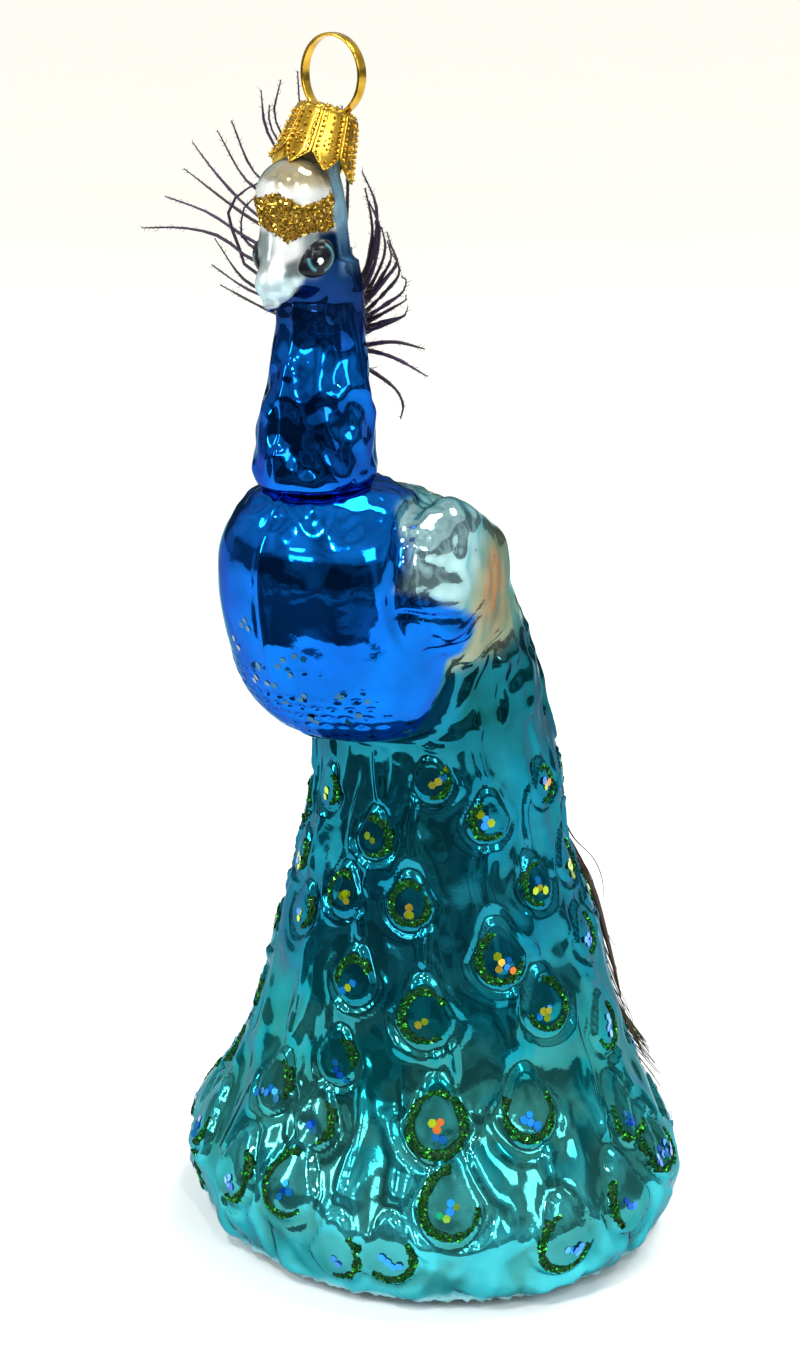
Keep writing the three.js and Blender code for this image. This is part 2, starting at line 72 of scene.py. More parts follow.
# Head with the knob on its crown: [height, centre Y, half width, half length].
HEAD = [
    [148.2, -28.2, 2.6, 3.2], [149.5, -28.6, 4.6, 5.6], [151.5, -29.6, 5.4, 6.7],
    [155, -30.4, 5.5, 6.9], [157.6, -30.8, 5.1, 6.2], [159.2, -31.6, 4.8, 5.2],
    [162, -32.2, 5.2, 5.2], [165, -32.2, 4.3, 4.3], [166.8, -32.2, 2.2, 2.2],
    [167.3, -32.2, 0.6, 0.6],
]

# Stem from the nape up into the cap: [height, X, centre Y, radius].
STEM = [
    [147, 0, -27, 4.2], [149.5, 0, -27, 4.3], [156, 0, -27, 4.1], [162.3, 0, -27.6, 3.8],
    [165.8, 0.1, -27.9, 3.3], [171.2, 0.4, -26.1, 3],
]

# Beak: brow and tip, and [place from the brow to the tip, radius].
BEAK_BROW = np.array([0, -34, 157.0])
BEAK_TIP = np.array([0, -37.2, 148.6])
BEAK_GIRTH = [[0, 0.9], [0.25, 1.9], [0.6, 2.7], [0.85, 2.5], [1, 1.2]]

WING_CENTRE = np.array([13.4, -14.6, 107.3])
WING_HALF = np.array([4.8, 15.5, 11.5])
WING_TILT = math.radians(-24)
WING_TOE_IN = math.radians(8)

# Widths of the fillets where one form runs into the next.
BREAST_FILLET, WING_FILLET = 2.4, 0.9
BEAK_FILLET, STEM_FILLET, NECK_FILLET = 1.0, 0.9, 2.0


def along(table, place, column):
    """A smooth value between the rows of a table whose first column rises."""
    knots = np.array([row[0] for row in table], float)
    values = np.array([row[column] for row in table], float)
    slopes = np.empty_like(values)
    slopes[1:-1] = (values[2:] - values[:-2]) / (knots[2:] - knots[:-2])
    slopes[0] = (values[1] - values[0]) / (knots[1] - knots[0])
    slopes[-1] = (values[-1] - values[-2]) / (knots[-1] - knots[-2])
    place = np.asarray(place, float)
    row = np.clip(np.searchsorted(knots, place, side="right") - 1, 0, len(knots) - 2)
    span = knots[row + 1] - knots[row]
    t = np.clip((place - knots[row]) / span, 0, 1)
    start = (2 * t**3 - 3 * t**2 + 1) * values[row] + (t**3 - 2 * t**2 + t) * span * slopes[row]
    end = (3 * t**2 - 2 * t**3) * values[row + 1] + (t**3 - t**2) * span * slopes[row + 1]
    return start + end


def smooth(low, high, value):
    t = np.clip((value - low) / (high - low), 0, 1)
    return t * t * (3 - 2 * t)


def melt(a, b, width):
    """Two fields joined with a fillet about as wide as width."""
    h = np.clip(0.5 + 0.5 * (b - a) / width, 0, 1)
    return b * (1 - h) + a * h - width * h * (1 - h)


def stack_field(p, table, columns, height_slack=0.25):
    """Signed distance, nearly, to a stack of level ovals.

    columns says which columns of the table hold the centre's X and Y, the half
    width, and the depths in front and behind. Column 0 stands for a centre at 0.
    """
    z = p[..., 2]
    low, high = table[0][0], table[-1][0]

    def reach_at(height):
        value = {column: along(table, height, column) for column in set(columns) - {0}}
        value[0] = 0
        cx, cy, side, front, rear = (value[column] for column in columns)
        dx, dy = p[..., 0] - cx, p[..., 1] - cy
        depth = np.where(dy < 0, front, rear)
        radius = np.hypot(dx, dy)
        unit = np.maximum(np.hypot(dx / side, dy / depth), 1e-6)
        return radius, np.where(radius < 1e-6, side, radius / unit)

    inside = np.clip(z, low, high)
    radius, reach = reach_at(inside)
    slope = (reach_at(inside + height_slack)[1] - reach_at(inside - height_slack)[1])
    slope = slope / (2 * height_slack)
    value = (radius - reach) / np.sqrt(1 + slope**2)
    return np.maximum(value, np.maximum(low - z, z - high))


def round_field(p, table):
    return stack_field(p, table, (0, 1, 2, 2, 2))


def beak_field(p):
    axis = BEAK_TIP - BEAK_BROW
    length = np.linalg.norm(axis)
    place = np.clip((p - BEAK_BROW) @ axis / length**2, 0, 1)
    nearest = BEAK_BROW + place[..., None] * axis
    return np.linalg.norm(p - nearest, axis=-1) - along(BEAK_GIRTH, place, 1)


def turned(a, b, angle):
    """Two coordinates turned by an angle in their plane."""
    c, s = math.cos(angle), math.sin(angle)
    return c * a - s * b, s * a + c * b


def wing_local(p):
    """Wing coordinates of points on either side: outward, along, up."""
    q = np.stack([np.abs(p[..., 0]), p[..., 1], p[..., 2]], -1) - WING_CENTRE
    x, y = turned(q[..., 0], q[..., 1], -WING_TOE_IN)
    return np.stack([x, *turned(y, q[..., 2], -WING_TILT)], -1)


def wing_field(p):
    q = wing_local(p) / WING_HALF
    flat = (np.abs(q[..., 1])**2.5 + np.abs(q[..., 2])**2.5)**(1 / 2.5)
    size = np.sqrt(q[..., 0]**2 + flat**3.2)
    return (size - 1) * WING_HALF[0] * 0.75


def gradient(field, p, h=0.04):
    out = np.empty_like(p)
    for axis in range(3):
        step = np.zeros(3)
        step[axis] = h
        out[..., axis] = (field(p + step) - field(p - step)) / (2 * h)
    return out


def normals(field, p):
    slope = gradient(field, p)
    return slope / np.maximum(np.linalg.norm(slope, axis=1), 1e-6)[:, None]


def body_field(p):
    """Train, back, breast and wings."""
    column = stack_field(p, COLUMN, (0, 1, 2, 3, 4))
    trunk = melt(column, round_field(p, BREAST), BREAST_FILLET)
    return melt(trunk, wing_field(p), WING_FILLET)


def bust_field(p):
    """Neck, head, beak and stem."""
    skull = melt(stack_field(p, HEAD, (0, 1, 2, 3, 3)), beak_field(p), BEAK_FILLET)
    skull = melt(skull, stack_field(p, STEM, (1, 2, 3, 3, 3)), STEM_FILLET)
    return melt(skull, round_field(p, NECK), NECK_FILLET)


# ---- mesh building

RELAX_ROUNDS = 8


def surface_net(field, low, high, step):
    """Quads over field = 0 in a box, open where the box cuts the form."""
    axes = [np.arange(a, b + step, step) for a, b in zip(low, high)]
    corner = np.stack(np.meshgrid(*axes, indexing="ij"), axis=-1)
    value = field(corner)
    cells = tuple(np.array(value.shape) - 1)
    total, count, edges = np.zeros((*cells, 3)), np.zeros(cells), []
    for axis in range(3):
        starts = np.arange(cells[axis])
        first, second = np.take(value, starts, axis), np.take(value, starts + 1, axis)
        crossing = (first < 0) != (second < 0)
        point = np.take(corner, starts, axis)
        point[..., axis] += step * first / np.where(crossing, first - second, 1)
        edges.append((axis, crossing, first < 0))
        for shifts in np.ndindex(2, 2):
            part = [slice(None)] * 3
            for a, shift in zip([a for a in range(3) if a != axis], shifts):
                part[a] = slice(shift, cells[a] + shift)
            touched = crossing[tuple(part)]
            total += np.where(touched[..., None], point[tuple(part)], 0)
            count += touched
    used = count > 0
    index = np.full(cells, -1)
    index[used] = np.arange(used.sum())
    faces = []
    for axis, crossing, starts_inside in edges:
        a, b = (axis + 1) % 3, (axis + 2) % 3
        place = np.argwhere(crossing)
        keep = (place[:, a] > 0) & (place[:, b] > 0)
        place = place[keep & (place[:, a] < cells[a]) & (place[:, b] < cells[b])]
        back_a, back_b = np.eye(3, dtype=int)[[a, b]]
        quad = [place - back_a - back_b, place - back_b, place, place - back_a]
        quad = np.stack([index[tuple(c.T)] for c in quad], axis=1)
        inward = ~starts_inside[tuple(place.T)]
        quad[inward] = quad[inward][:, ::-1]
        faces.append(quad)
    return total[used] / count[used][:, None], np.concatenate(faces)


def settle(points, field, steps, free):
    """Points moved onto field = 0; free marks those that may move."""
    for _ in range(steps):
        slope = gradient(field, points)
        size = np.maximum((slope**2).sum(1), 0.05)
        move = slope * np.clip(field(points) / size, -0.6, 0.6)[:, None]
        points = points - np.where(free[:, None], move, 0)
    return points


def edge_pairs(faces):
    pairs = np.concatenate([faces[:, [i, (i + 1) % 4]] for i in range(4)])
    return np.sort(pairs, axis=1)


def relax(points, faces, field, free):
    """Evens the mesh out over the form without leaving it."""
    pairs = np.unique(edge_pairs(faces), axis=0)
    number = np.maximum(np.bincount(pairs.ravel(), minlength=len(points)), 1)
    for _ in range(RELAX_ROUNDS):
        mean = np.stack([np.bincount(pairs[:, 0], column[pairs[:, 1]], len(points))
                         + np.bincount(pairs[:, 1], column[pairs[:, 0]], len(points))
                         for column in points.T], axis=1) / number[:, None]
        points = np.where(free[:, None], 0.4 * points + 0.6 * mean, points)
        points = settle(points, field, 1, free)
    return settle(points, field, 2, free)


def open_edge_points(faces, count):
    pairs, used = np.unique(edge_pairs(faces), axis=0, return_counts=True)
    rim = np.zeros(count, bool)
    rim[pairs[used == 1].ravel()] = True
    return rim


def put_in_scene(name, data):
    piece = bpy.data.objects.new(name, data)
    bpy.context.scene.collection.objects.link(piece)
    return piece


def make_piece(name, points, faces, material, marks, smooth_shading=True):
    """A mesh from points in millimetres, with values marked on its points.

    A face of two points is a bare line. The mark "paint" is a colour.
    """
    mesh = bpy.data.meshes.new(name)
    lines = [face for face in faces if len(face) == 2]
    faces = [face for face in faces if len(face) > 2]
    mesh.from_pydata((np.asarray(points) * MM).tolist(), lines, faces)
    mesh.update()
    mesh.polygons.foreach_set("use_smooth", np.full(len(mesh.polygons), smooth_shading))
    for key, value in marks.items():
        if key == "paint":
            if value.shape[1] == 3:
                value = np.insert(value, 3, 1, axis=1)
            layer, field = mesh.color_attributes.new(key, "FLOAT_COLOR", "POINT"), "color"
        elif value.ndim == 2:
            layer, field = mesh.attributes.new(key, "FLOAT_VECTOR", "POINT"), "vector"
        else:
            layer, field = mesh.attributes.new(key, "FLOAT", "POINT"), "value"
        layer.data.foreach_set(field, value.astype(np.float32).ravel())
    mesh.materials.append(material)
    return put_in_scene(name, mesh)


def ripple(points, size, seed, squash=1):
    """Smooth noise between -1 and 1 with bumps about size millimetres across.

    A squash under 1 makes the bumps that much taller than they are wide.
    """
    scaled = np.asarray(points) * [1, 1, squash] / size + seed * 7.31
    return np.array([noise.noise(Vector(p)) for p in scaled.tolist()])


# ---- train

# Eyes: [bearing from the front, height, radius, outline from, outline to,
# sequins]. Outline angles are counted from the right, anticlockwise.
TRAIN_EYES = [
    [-46, 17, 4, 20, -60, "blue"], [-21, 15, 4.2, 60, -100, "blue"],
    [-2, 17, 4.2, 80, 320, "blue"], [13, 9, 4, 50, -100, "blue"], [26, 10, 4, 40, -130, "blue"],
    [40, 18, 4.3, 90, 360, "green"], [66, 11, 4.3, 100, 350, "blue"],
    [85, 14, 4.2, 130, 230, "blue"], [-19, 28, 3.4, 80, -20, "blue"],
    [0, 26, 3.2, 60, -60, "blue"], [36, 28, 4.1, 100, 460, "mixed"],
    [62, 29, 3.9, 150, 390, "blue"], [95, 24, 3.6, 150, 330, "blue"],
    [101, 18, 3.4, 150, 300, "blue"], [3, 35, 3, 80, -20, "blue"],
    [32, 43, 3.6, 30, 310, "lime"], [74, 43, 3.6, 90, -170, "lime"],
    [100, 36, 3.4, 60, -160, "blue"], [6, 47, 3, 30, 200, "lime"],
    [59, 51, 3.5, 100, 350, "mixed"], [103, 50, 3, 60, -100, "blue"],
    [-27, 54, 2.8, 60, -60, "lime"], [-4, 59, 2.8, 60, 240, "lime"],
    [26, 59, 2.9, 50, 390, "mixed"], [82, 60, 2.9, 70, 270, "lime"],
    [-42, 61, 2.8, 60, -60, "lime"], [8, 68, 2.7, 120, -110, "lime"],
    [61, 71, 2.8, 120, 310, "lime"], [-24, 73, 2.5, 60, -60, "lime"],
    [35, 77, 2.4, 45, -100, "lime"], [95, 74, 2.5, 110, -110, "mixed"],
]
GROUP_TURN = 150
GROUPS = 3
LAST_BEARING = 315
LOW_EYES_TOP = 24
LOW_EYE_RISE, HIGH_EYE_RISE = 1.3, 0.85  # of the glass that swells under an eye


def all_eyes():
    """The eyes of the table, carried round the train in turned groups."""
    eyes = [[bearing + group * GROUP_TURN, *rest]
            for group in range(GROUPS) for bearing, *rest in TRAIN_EYES]
    return [[math.radians(eye[0]), *eye[1:]] for eye in eyes if eye[0] < LAST_BEARING]


def wrap(angle):
    return np.arctan2(np.sin(angle), np.cos(angle))


def train_bearing(p):
    return np.arctan2(p[:, 0], -(p[:, 1] - along(COLUMN, p[:, 2], 1)))


def train_reach(p):
    return np.hypot(p[:, 0], p[:, 1] - along(COLUMN, p[:, 2], 1))


def train_point(bearing, height, lift=0.0):
    """Points on the smooth train, raised by lift."""
    side = along(COLUMN, height, 2)
    depth = np.where(np.cos(bearing) > 0, along(COLUMN, height, 3), along(COLUMN, height, 4))
    reach = 1 / np.hypot(np.sin(bearing) / side, np.cos(bearing) / depth) + lift
    return np.stack([
        reach * np.sin(bearing),
        along(COLUMN, height, 1) - reach * np.cos(bearing),
        height + 0 * reach,
    ], axis=-1)


def bell(value, width):
    """1 where value is 0, falling away over about width on either side."""
    return np.exp(-(value / width)**2)


def ridges(p, across, tall, seed, width):
    """Raised lines that wander and fork: 1 along a line, 0 between lines."""
    return bell(ripple(p, across, seed, across / tall), width)


def train_relief(p):
    """Height of the moulded feathers above the smooth train, in millimetres."""
    bearing, reach, z = train_bearing(p), train_reach(p), p[:, 2]
    drift = 0.9 * ripple(p, 9, 3)
    # Long barbs that run down the train between the eyes.
    flow = 0.62 * ridges(p, 8, 17, 1, 0.26) + 0.13 * ridges(p, 4.6, 8, 2, 0.28)
    flow += 0.62 * ripple(p, 7, 15, 0.6) + 0.05 * ripple(p, 2.4, 16)
    boss, rim, outer, quill, cover = np.zeros((5, len(p)))
    for eye_bearing, height, radius, *_ in all_eyes():
        u = wrap(bearing - eye_bearing) * reach
        v = z - height
        near = (np.abs(u) < 2.8 * radius) & (v > -2.2 * radius) & (v < 8 * radius)
        if not near.any():
            continue
        un, vn = u[near] + 0.25 * drift[near], v[near]
        taper = np.where(vn > 0, 0.72, 1.0)
        q = np.hypot(un * (1 + 0.16 * np.clip(vn, 0, radius)), vn * taper) / radius
        rise = LOW_EYE_RISE if height < LOW_EYES_TOP else HIGH_EYE_RISE
        dome = rise * np.sqrt(np.clip(1 - (q / 1.18)**2, 0, 1))
        edge = 0.32 * bell(q - 1.06, 0.17) - 0.2 * bell(q - 1.38, 0.18)
        low = 1 - smooth(0.2, 1.2, vn / radius)
        stroke = bell(un - 0.5 * np.sin(vn * 0.45), 0.6)
        fade = smooth(1.1 * radius, 1.7 * radius, vn) * (1 - smooth(4.5 * radius, 7.5 * radius, vn))
        rim[near] = np.where(np.abs(edge) > np.abs(rim[near]), edge, rim[near])
        for form, height_here in ((boss, 0.75 * dome), (outer, bell(q - 1.66, 0.2) * low),
                                  (cover, 1 - smooth(1.15, 1.6, q)), (quill, stroke * fade)):
            form[near] = np.maximum(form[near], height_here)
    # Barbs give way to the eyes, and both die out under the breast and at the foot.
    relief = (flow - 0.2) * (1 - 0.8 * cover) * (1 - 0.5 * quill)
    relief += boss + rim + (0.25 * outer + 0.7 * quill) * (1 - cover)
    top = 1 - smooth(92, 97, z)
    top = top * np.where(z > 80, smooth(0.6, 2.4, round_field(p, BREAST)), 1)
    # The hem: scalloped and folded.
    scallop = np.abs(np.cos(11 * bearing + 0.8 * ripple(p, 14, 31)))**0.6
    relief += (1.1 * scallop - 0.6) * smooth(17, 5, z) * (1 - 0.7 * cover)
    low = smooth(20, 10, z) * (1 - 0.6 * cover)
    relief += low * (0.6 * ripple(p, 4.6, 32) + 0.75 * ridges(p, 6, 13, 35, 0.24) - 0.2)
    seam = 0.45 * bell(z - 2.3, 0.45) * (1 + 1.8 * ripple(p, 1.1, 9))
    return relief * smooth(1.8, 3.6, z) * top + seam


def scales(p, row_height=1.5, pitch=2.1):
    """Small oval dents in rows on the lower breast."""
    v = p[:, 2] / row_height
    row = np.floor(v)
    across = (p[:, 0] + 0.5 * pitch * (row % 2)) / pitch
    du = (across - np.round(across)) * pitch
    dv = (v - row - 0.5) * row_height
    return np.exp(-((du / 0.5)**2 + (dv / 0.26)**2))


def wing_folds(a, up):
    """Curved feather folds low on the wing; a and up are shares of its half size.

    Each fold is its height above its own curve, and where it starts and ends.
    """
    b = a + 0.45
    folds = 0
    for fold, start, end in ((up - (-0.74 - 0.064 * b + 1.77 * b**2), -0.6, 0.14),
                             (up - (-0.9 + 0.6 * b), -0.5, 0),
                             (up - (-0.5 + 0.33 * (a + 0.65)), -0.95, -0.25),
                             (up - (-0.95 + 1.3 * (a - 0.2)), 0.1, 0.6)):
        reach = smooth(start, start + 0.12, a) * smooth(end + 0.08, end - 0.08, a)
        folds = folds - 0.45 * reach * (bell(fold + 0.05, 0.05) - 0.7 * bell(fold - 0.06, 0.08))
    return folds


def breast_dents(p):
    """Rows of shallow scales pressed into the lower breast, in uneven groups."""
    x, _, z = p.T
    dents = scales(p) * (1 - smooth(95, 101, z)) * smooth(84, 86.5, z)
    return dents * (1 - smooth(10, 14, np.abs(x))) * smooth(-0.45, 0.1, ripple(p, 5, 17))


def body_relief(p):
    """Height of the shallow moulding on the breast, back and wings."""
    x, y, z = p.T
    breast = 1 - smooth(0.3, 2.2, round_field(p, BREAST))
    relief = 0.3 * ripple(p, 8, 4) + 0.1 * ripple(p, 3.2, 5)
    relief -= 0.6 * breast_dents(p) * breast
    relief += 0.22 * bell(x, 0.35) * (y < -15) * breast
    relief += 0.35 * smooth(116, 119, z) * breast * ripple(p, 2.6, 18)
    _, a, up = (wing_local(p) / WING_HALF).T
    wing = 1 - smooth(0.1, 1.0, wing_field(p))
    relief -= 0.8 * wing * smooth(-0.3, -1.0, a)
    relief += wing * wing_folds(a + 0.05 * ripple(p, 5, 6), up)
    dimpled = wing * smooth(0.0, -0.3, a) * smooth(-0.1, 0.1, up)
    relief += dimpled * (0.5 * ripple(p, 3.2, 19) + 0.15 * ripple(p, 1.8, 37))
    relief += 0.16 * wing * smooth(-0.1, 0.2, a) * ripple(p, 2.2, 38, 0.35)
    relief += wing * 0.22 * ripple(p, 4.5, 20)
    under = smooth(80, 86, z) * smooth(99, 95, z) * (1 - breast)
    relief += under * (0.8 * ridges(p, 4.6, 10, 33, 0.26) + 0.5 * ripple(p, 3.8, 34))
    back = smooth(-16, -8, y) * smooth(84, 97, z) * (1 - wing)
    relief += back * (0.4 * ridges(p, 4, 9, 21, 0.16) + 0.35 * ripple(p, 4.5, 8))
    return relief * smooth(81, 86, z)


# Lacquers, and colours of painted shade and painted reflection: red, green, blue, and how much of
# the silvering shines through.
LACQUERS_AND_PAINTED_LIGHT = {
    "hem": (0.05, 0.49, 0.56, 0.78),
    "teal": (0.003, 0.25, 0.30, 0.9),
    "deep": (0.002, 0.17, 0.28, 0.94),
    "silver": (0.40, 0.68, 0.74, 0.92),
    "smoke": (0.04, 0.25, 0.23, 0.85),
    "frost": (0.34, 0.64, 0.70, 0.3),
    # shade: painted shade, used under the breast and wings and at the foot of the train.
    "shade": (0.002, 0.105, 0.125, 0.95),
    "champagne": (0.30, 0.34, 0.23, 0.85),
    "copper": (0.42, 0.165, 0.05, 0.75),
    "azure": (0.0005, 0.14, 0.62, 0.99),
    "cobalt": (0.0005, 0.085, 0.47, 0.99),
    "navy": (0.003, 0.03, 0.14, 0.9),
    "pearl": (0.76, 0.79, 0.78, 0.4),
    # dome: painted shade and reflection on the top of the knob.
    "dome": (0.50, 0.48, 0.40, 0.8),
    "lore": (0.06, 0.085, 0.085, 0.5),
    "beak": (0.48, 0.64, 0.68, 0.45),
    # A smoky grey on the face, which on the bird's right side of it is a painted reflection.
    "smoky_grey_and_painted_reflection": (0.24, 0.30, 0.30, 0.6),
    "stem": (0.30, 0.55, 0.72, 0.6),
    # Painted reflection: a warm cast on the top of the knob.
    "amber_reflection": (0.50, 0.42, 0.22, 0.7),
}


def sprayed(base, p, coats):
    """The paint on points p: coats of lacquer, painted shade and painted reflection over a base,
    each with its cover.
    """
    paint = np.tile(np.array(LACQUERS_AND_PAINTED_LIGHT[base]), (len(p), 1))
    for colour, cover in coats:
        paint = paint + (np.array(LACQUERS_AND_PAINTED_LIGHT[colour]) - paint) * np.clip(cover, 0, 1)[:, None]
    return paint


def body_paint(p, lift):
    """Sprayed lacquer colours over the train, breast, wings and back, with painted shade under the
    breast and wings, at the foot and in the folds of the hem.
    """
    x, y, z = p.T
    cloud = ripple(p, 11, 11)
    fine = ripple(p, 3, 12)

    # Train: teal, deeper high up, pale at the hem, smoky in the hollows and eyes, with painted
    # shade of folds low on the hem.
    patch = smooth(0.45, -0.1, lift + 0.3 * ripple(p, 5, 13))
    patch = np.maximum(patch, smooth(0.0, 0.25, ripple(p, 6.5, 42))) * smooth(2, 4, z)
    # Painted shade of folds: darker teal stripes low on the hem.
    fold = smooth(0.0, 0.5, ripple(p, 4, 41, 0.45)) * smooth(13, 8, z)
    raised = smooth(0.35, 0.8, lift) * (1 - smooth(20, 34, z))
    coats = [("deep", 0.85 * smooth(32, 54, z) + 0.3 * cloud),
             ("hem", 1 - smooth(6, 26, z + 5 * cloud)),
             ("smoke", 0.8 * patch * (1 - 0.8 * smooth(25, 55, z))),
             ("teal", 0.55 * fold),
             ("hem", 0.6 * raised)]
    bearing, reach = train_bearing(p), train_reach(p)
    for eye_bearing, height, radius, *_ in all_eyes():
        if height < 32:
            q = np.hypot(wrap(bearing - eye_bearing) * reach, z - height) / radius
            coats.append(("smoke", 0.62 * (1 - smooth(0.8, 1.15, q))))

    # Wings and shoulders: champagne, silver in front, with a copper blush.
    _, a, up = (wing_local(p) / WING_HALF).T
    wing_gap = wing_field(p)
    wing = 1 - smooth(0.3, 1.6, wing_gap)
    drift = 1.2 * fine + (5 * cloud - 1) * smooth(0.4, 1.6, wing_gap)
    shoulder = smooth(93, 98, z + drift) * np.maximum(wing, smooth(95, 101, z + 3 * cloud))
    front = smooth(0.05, -0.4, a - 0.2 * up + 0.08 * fine)
    blush = np.exp(-((a - 0.3) / 0.28)**2 - ((up - 0.12) / 0.5)**2)
    streak = ripple(p, 1.6, 36, 0.3)
    coats += [("champagne", shoulder),
              ("silver", shoulder * front),
              ("copper", blush * shoulder * (1 + 0.3 * fine + 0.5 * streak))]

    # Breast: cobalt up to a soft edge that takes in the foot of the wing.
    low_wing = smooth(-0.28, -0.42, up + 0.04 * fine) * smooth(0.14, -0.06, a + 0.08 * fine)
    on_wing = np.maximum(low_wing, smooth(-0.95, -1.03, a))
    edge = np.where(z > 100, -17.5 + 0.22 * (z - 108) - 0.1 * np.abs(x),
                    -21.6 + 2.4 * smooth(86, 97, z))
    off_wing = smooth(0.8, -0.8, y - edge + 0.6 * fine)
    blue = off_wing + (on_wing - off_wing) * wing * smooth(97, 99, z)
    blue = blue * smooth(81.5, 83.5, z + 0.35 * np.clip(-y - 16, 0, 40))
    # Painted shade: a darker coat on the train where the breast and wings overhang it.
    under = smooth(72, 86, z) * smooth(99, 95, z) * smooth(0.5, 2.5, round_field(p, BREAST))
    coats += [("azure", blue),
              ("cobalt", 0.6 * blue * smooth(-0.1, 0.5, cloud)),
              ("cobalt", 0.7 * blue * breast_dents(p)),
              ("shade", under * (0.7 + 0.6 * cloud)),
              ("frost", bell(z - 2.3, 0.6) * (1 + fine)),
              # Painted shade on the underside at the very foot.
              ("shade", smooth(1.5, 0.9, z))]
    return sprayed("teal", p, coats)


BODY_LOW, BODY_HIGH = (-21, -43, 80.0), (21, 20, 124)
BODY_STEP = 0.45
BUST_LOW, BUST_HIGH = (-10, -41, 121), (10, -17, 172.5)
BUST_STEP = 0.3
TRAIN_ROWS = 150
EVENING_ROWS = 40  # over which the train's columns of faces become evenly spaced
UNDER_RINGS = 6
ROW_CROWDING, RING_CROWDING = 1.12, 0.8  # 1 is even; rows crowd towards the foot
UNDERSIDE = 0.02  # up to this height nothing is lifted


def make_glass_body(material):
    """One skin from the foot of the train up to the rim under the neck."""
    points, faces = surface_net(body_field, BODY_LOW, BODY_HIGH, BODY_STEP)
    rim = open_edge_points(faces, len(points))
    joint = BODY_LOW[2] + BODY_STEP / 2
    points[rim, 2] = joint
    points = relax(points, faces, body_field, ~rim)
    loop = np.flatnonzero(rim)
    bearing = train_bearing(points[loop])
    order = np.argsort(bearing)
    loop, bearing = loop[order], bearing[order]
    columns = len(loop)
    points[loop] = train_point(bearing, points[loop][:, 2])
    even = bearing.mean() + FULL_TURN * (np.arange(columns) - (columns - 1) / 2) / columns
    part = np.linspace(0, 1, TRAIN_ROWS + 1)[1:]
    rows = []
    for step, height in enumerate(joint * (1 - part)**ROW_CROWDING):
        share = smooth(0, EVENING_ROWS, step + 1.0)
        rows.append(train_point(bearing * (1 - share) + even * share, height))
    foot = rows[-1]
    middle = foot.mean(axis=0)
    for ring in range(1, UNDER_RINGS):
        rows.append(middle + (foot - middle) * (1 - ring / UNDER_RINGS)**RING_CROWDING)
    start = len(points)
    points = np.concatenate([points, *rows, middle[None]])
    ids = [loop] + [start + row * columns + np.arange(columns) for row in range(len(rows))]
    quads = [faces]
    for upper, lower in zip(ids[:-1], ids[1:]):
        quads.append(np.stack([upper, lower, np.roll(lower, -1), np.roll(upper, -1)], axis=1))
    hub = len(points) - 1
    fan = [[hub, ids[-1][(i + 1) % columns], ids[-1][i]] for i in range(columns)]
    outward = normals(body_field, points)
    outward[points[:, 2] < UNDERSIDE] = 0
    lift = train_relief(points) + body_relief(points)
    return make_piece("glass_body", points + outward * lift[:, None],
                      np.concatenate(quads).tolist() + fan, material,
                      {"paint": body_paint(points, lift)})


def bust_paint(p):
    """Cobalt up to a dark throat, then a pearly face and knob and a blue stem, with painted
    reflections on the bird's right of the face and on the top of the knob.
    """
    x, y, z = p.T
    fine = ripple(p, 1.6, 21)
    nape = smooth(-30.2, -28.6, y) * smooth(151, 155, z)
    crown = smooth(157.2, 158.4, z + 0.3 * fine)
    bridge = smooth(-33.4, -35.2, y + 0.25 * np.abs(x) + 0.3 * fine) * smooth(147.5, 149, z)
    tip = smooth(154, 151.5, z - 0.3 * (y + 36))
    side = np.abs(x) + 0.15 * fine
    lore = smooth(1.8, 2.5, side) * smooth(151.5, 152.3, z)
    lore = lore * smooth(154.5, 153.5, z - 0.6 * (side - 2.6))
    warm_reflection = smooth(162.6, 164.5, z) * smooth(-0.3, 0.4, fine + 0.25 * x)
    return sprayed("cobalt", p, [
        ("azure", 0.8 * smooth(-0.3, 0.2, ripple(p, 5, 22))),
        ("navy", 0.95 * smooth(141, 147, z + 0.8 * fine)),
        ("stem", nape),
        ("azure", 0.7 * nape * smooth(161, 153, z + 1.5 * fine)),
        ("smoky_grey_and_painted_reflection", smooth(-32.2, -33.6, y) * smooth(151, 153.5, z) * (1 - nape)),
        ("pearl", bridge * (1 - nape)),
        # Painted reflection: a grey cast on the bird's right side of the face only.
        ("smoky_grey_and_painted_reflection", 0.85 * bridge * smooth(1.0, 0.1, x) * smooth(151, 153, z)),
        ("pearl", crown * (1 - nape)),
        # Painted shade and reflection: the top of the knob greyer and warmer, so that the pearl
        # left below it reads as a painted highlight.
        ("dome", crown * smooth(163.4, 165.0, z + 0.5 * fine) * (1 - nape)),
        ("amber_reflection", 0.8 * warm_reflection * crown * (1 - nape)),
        ("beak", tip * bridge),
        ("lore", 0.85 * lore * bridge),
    ])


def make_glass_bust(material):
    """Neck, head, beak and stem as one skin, down into the rim of the breast."""
    points, faces = surface_net(bust_field, BUST_LOW, BUST_HIGH, BUST_STEP)
    points = relax(points, faces, bust_field, np.ones(len(points), bool))
    x, y, z = points.T
    hammered = (1 - smooth(146, 150, z)) * smooth(123, 126, z)
    lift = hammered * (0.58 * ripple(points, 3.2, 23, 0.6)
                       + 0.42 * ripple(points, 2.3, 26, 0.8) * smooth(143, 136, z)
                       + 0.3 * ripple(points, 3.2, 24, 0.22) * smooth(128, 140, z))
    lift += 0.16 * bell(x, 0.3) * (y < -28) * hammered
    lift += 0.05 * ripple(points, 2.2, 25) * (1 - hammered)
    lifted = points + normals(bust_field, points) * lift[:, None]
    return make_piece("glass_bust", lifted, faces.tolist(), material, {"paint": bust_paint(points)})


# ---- laying on the glass

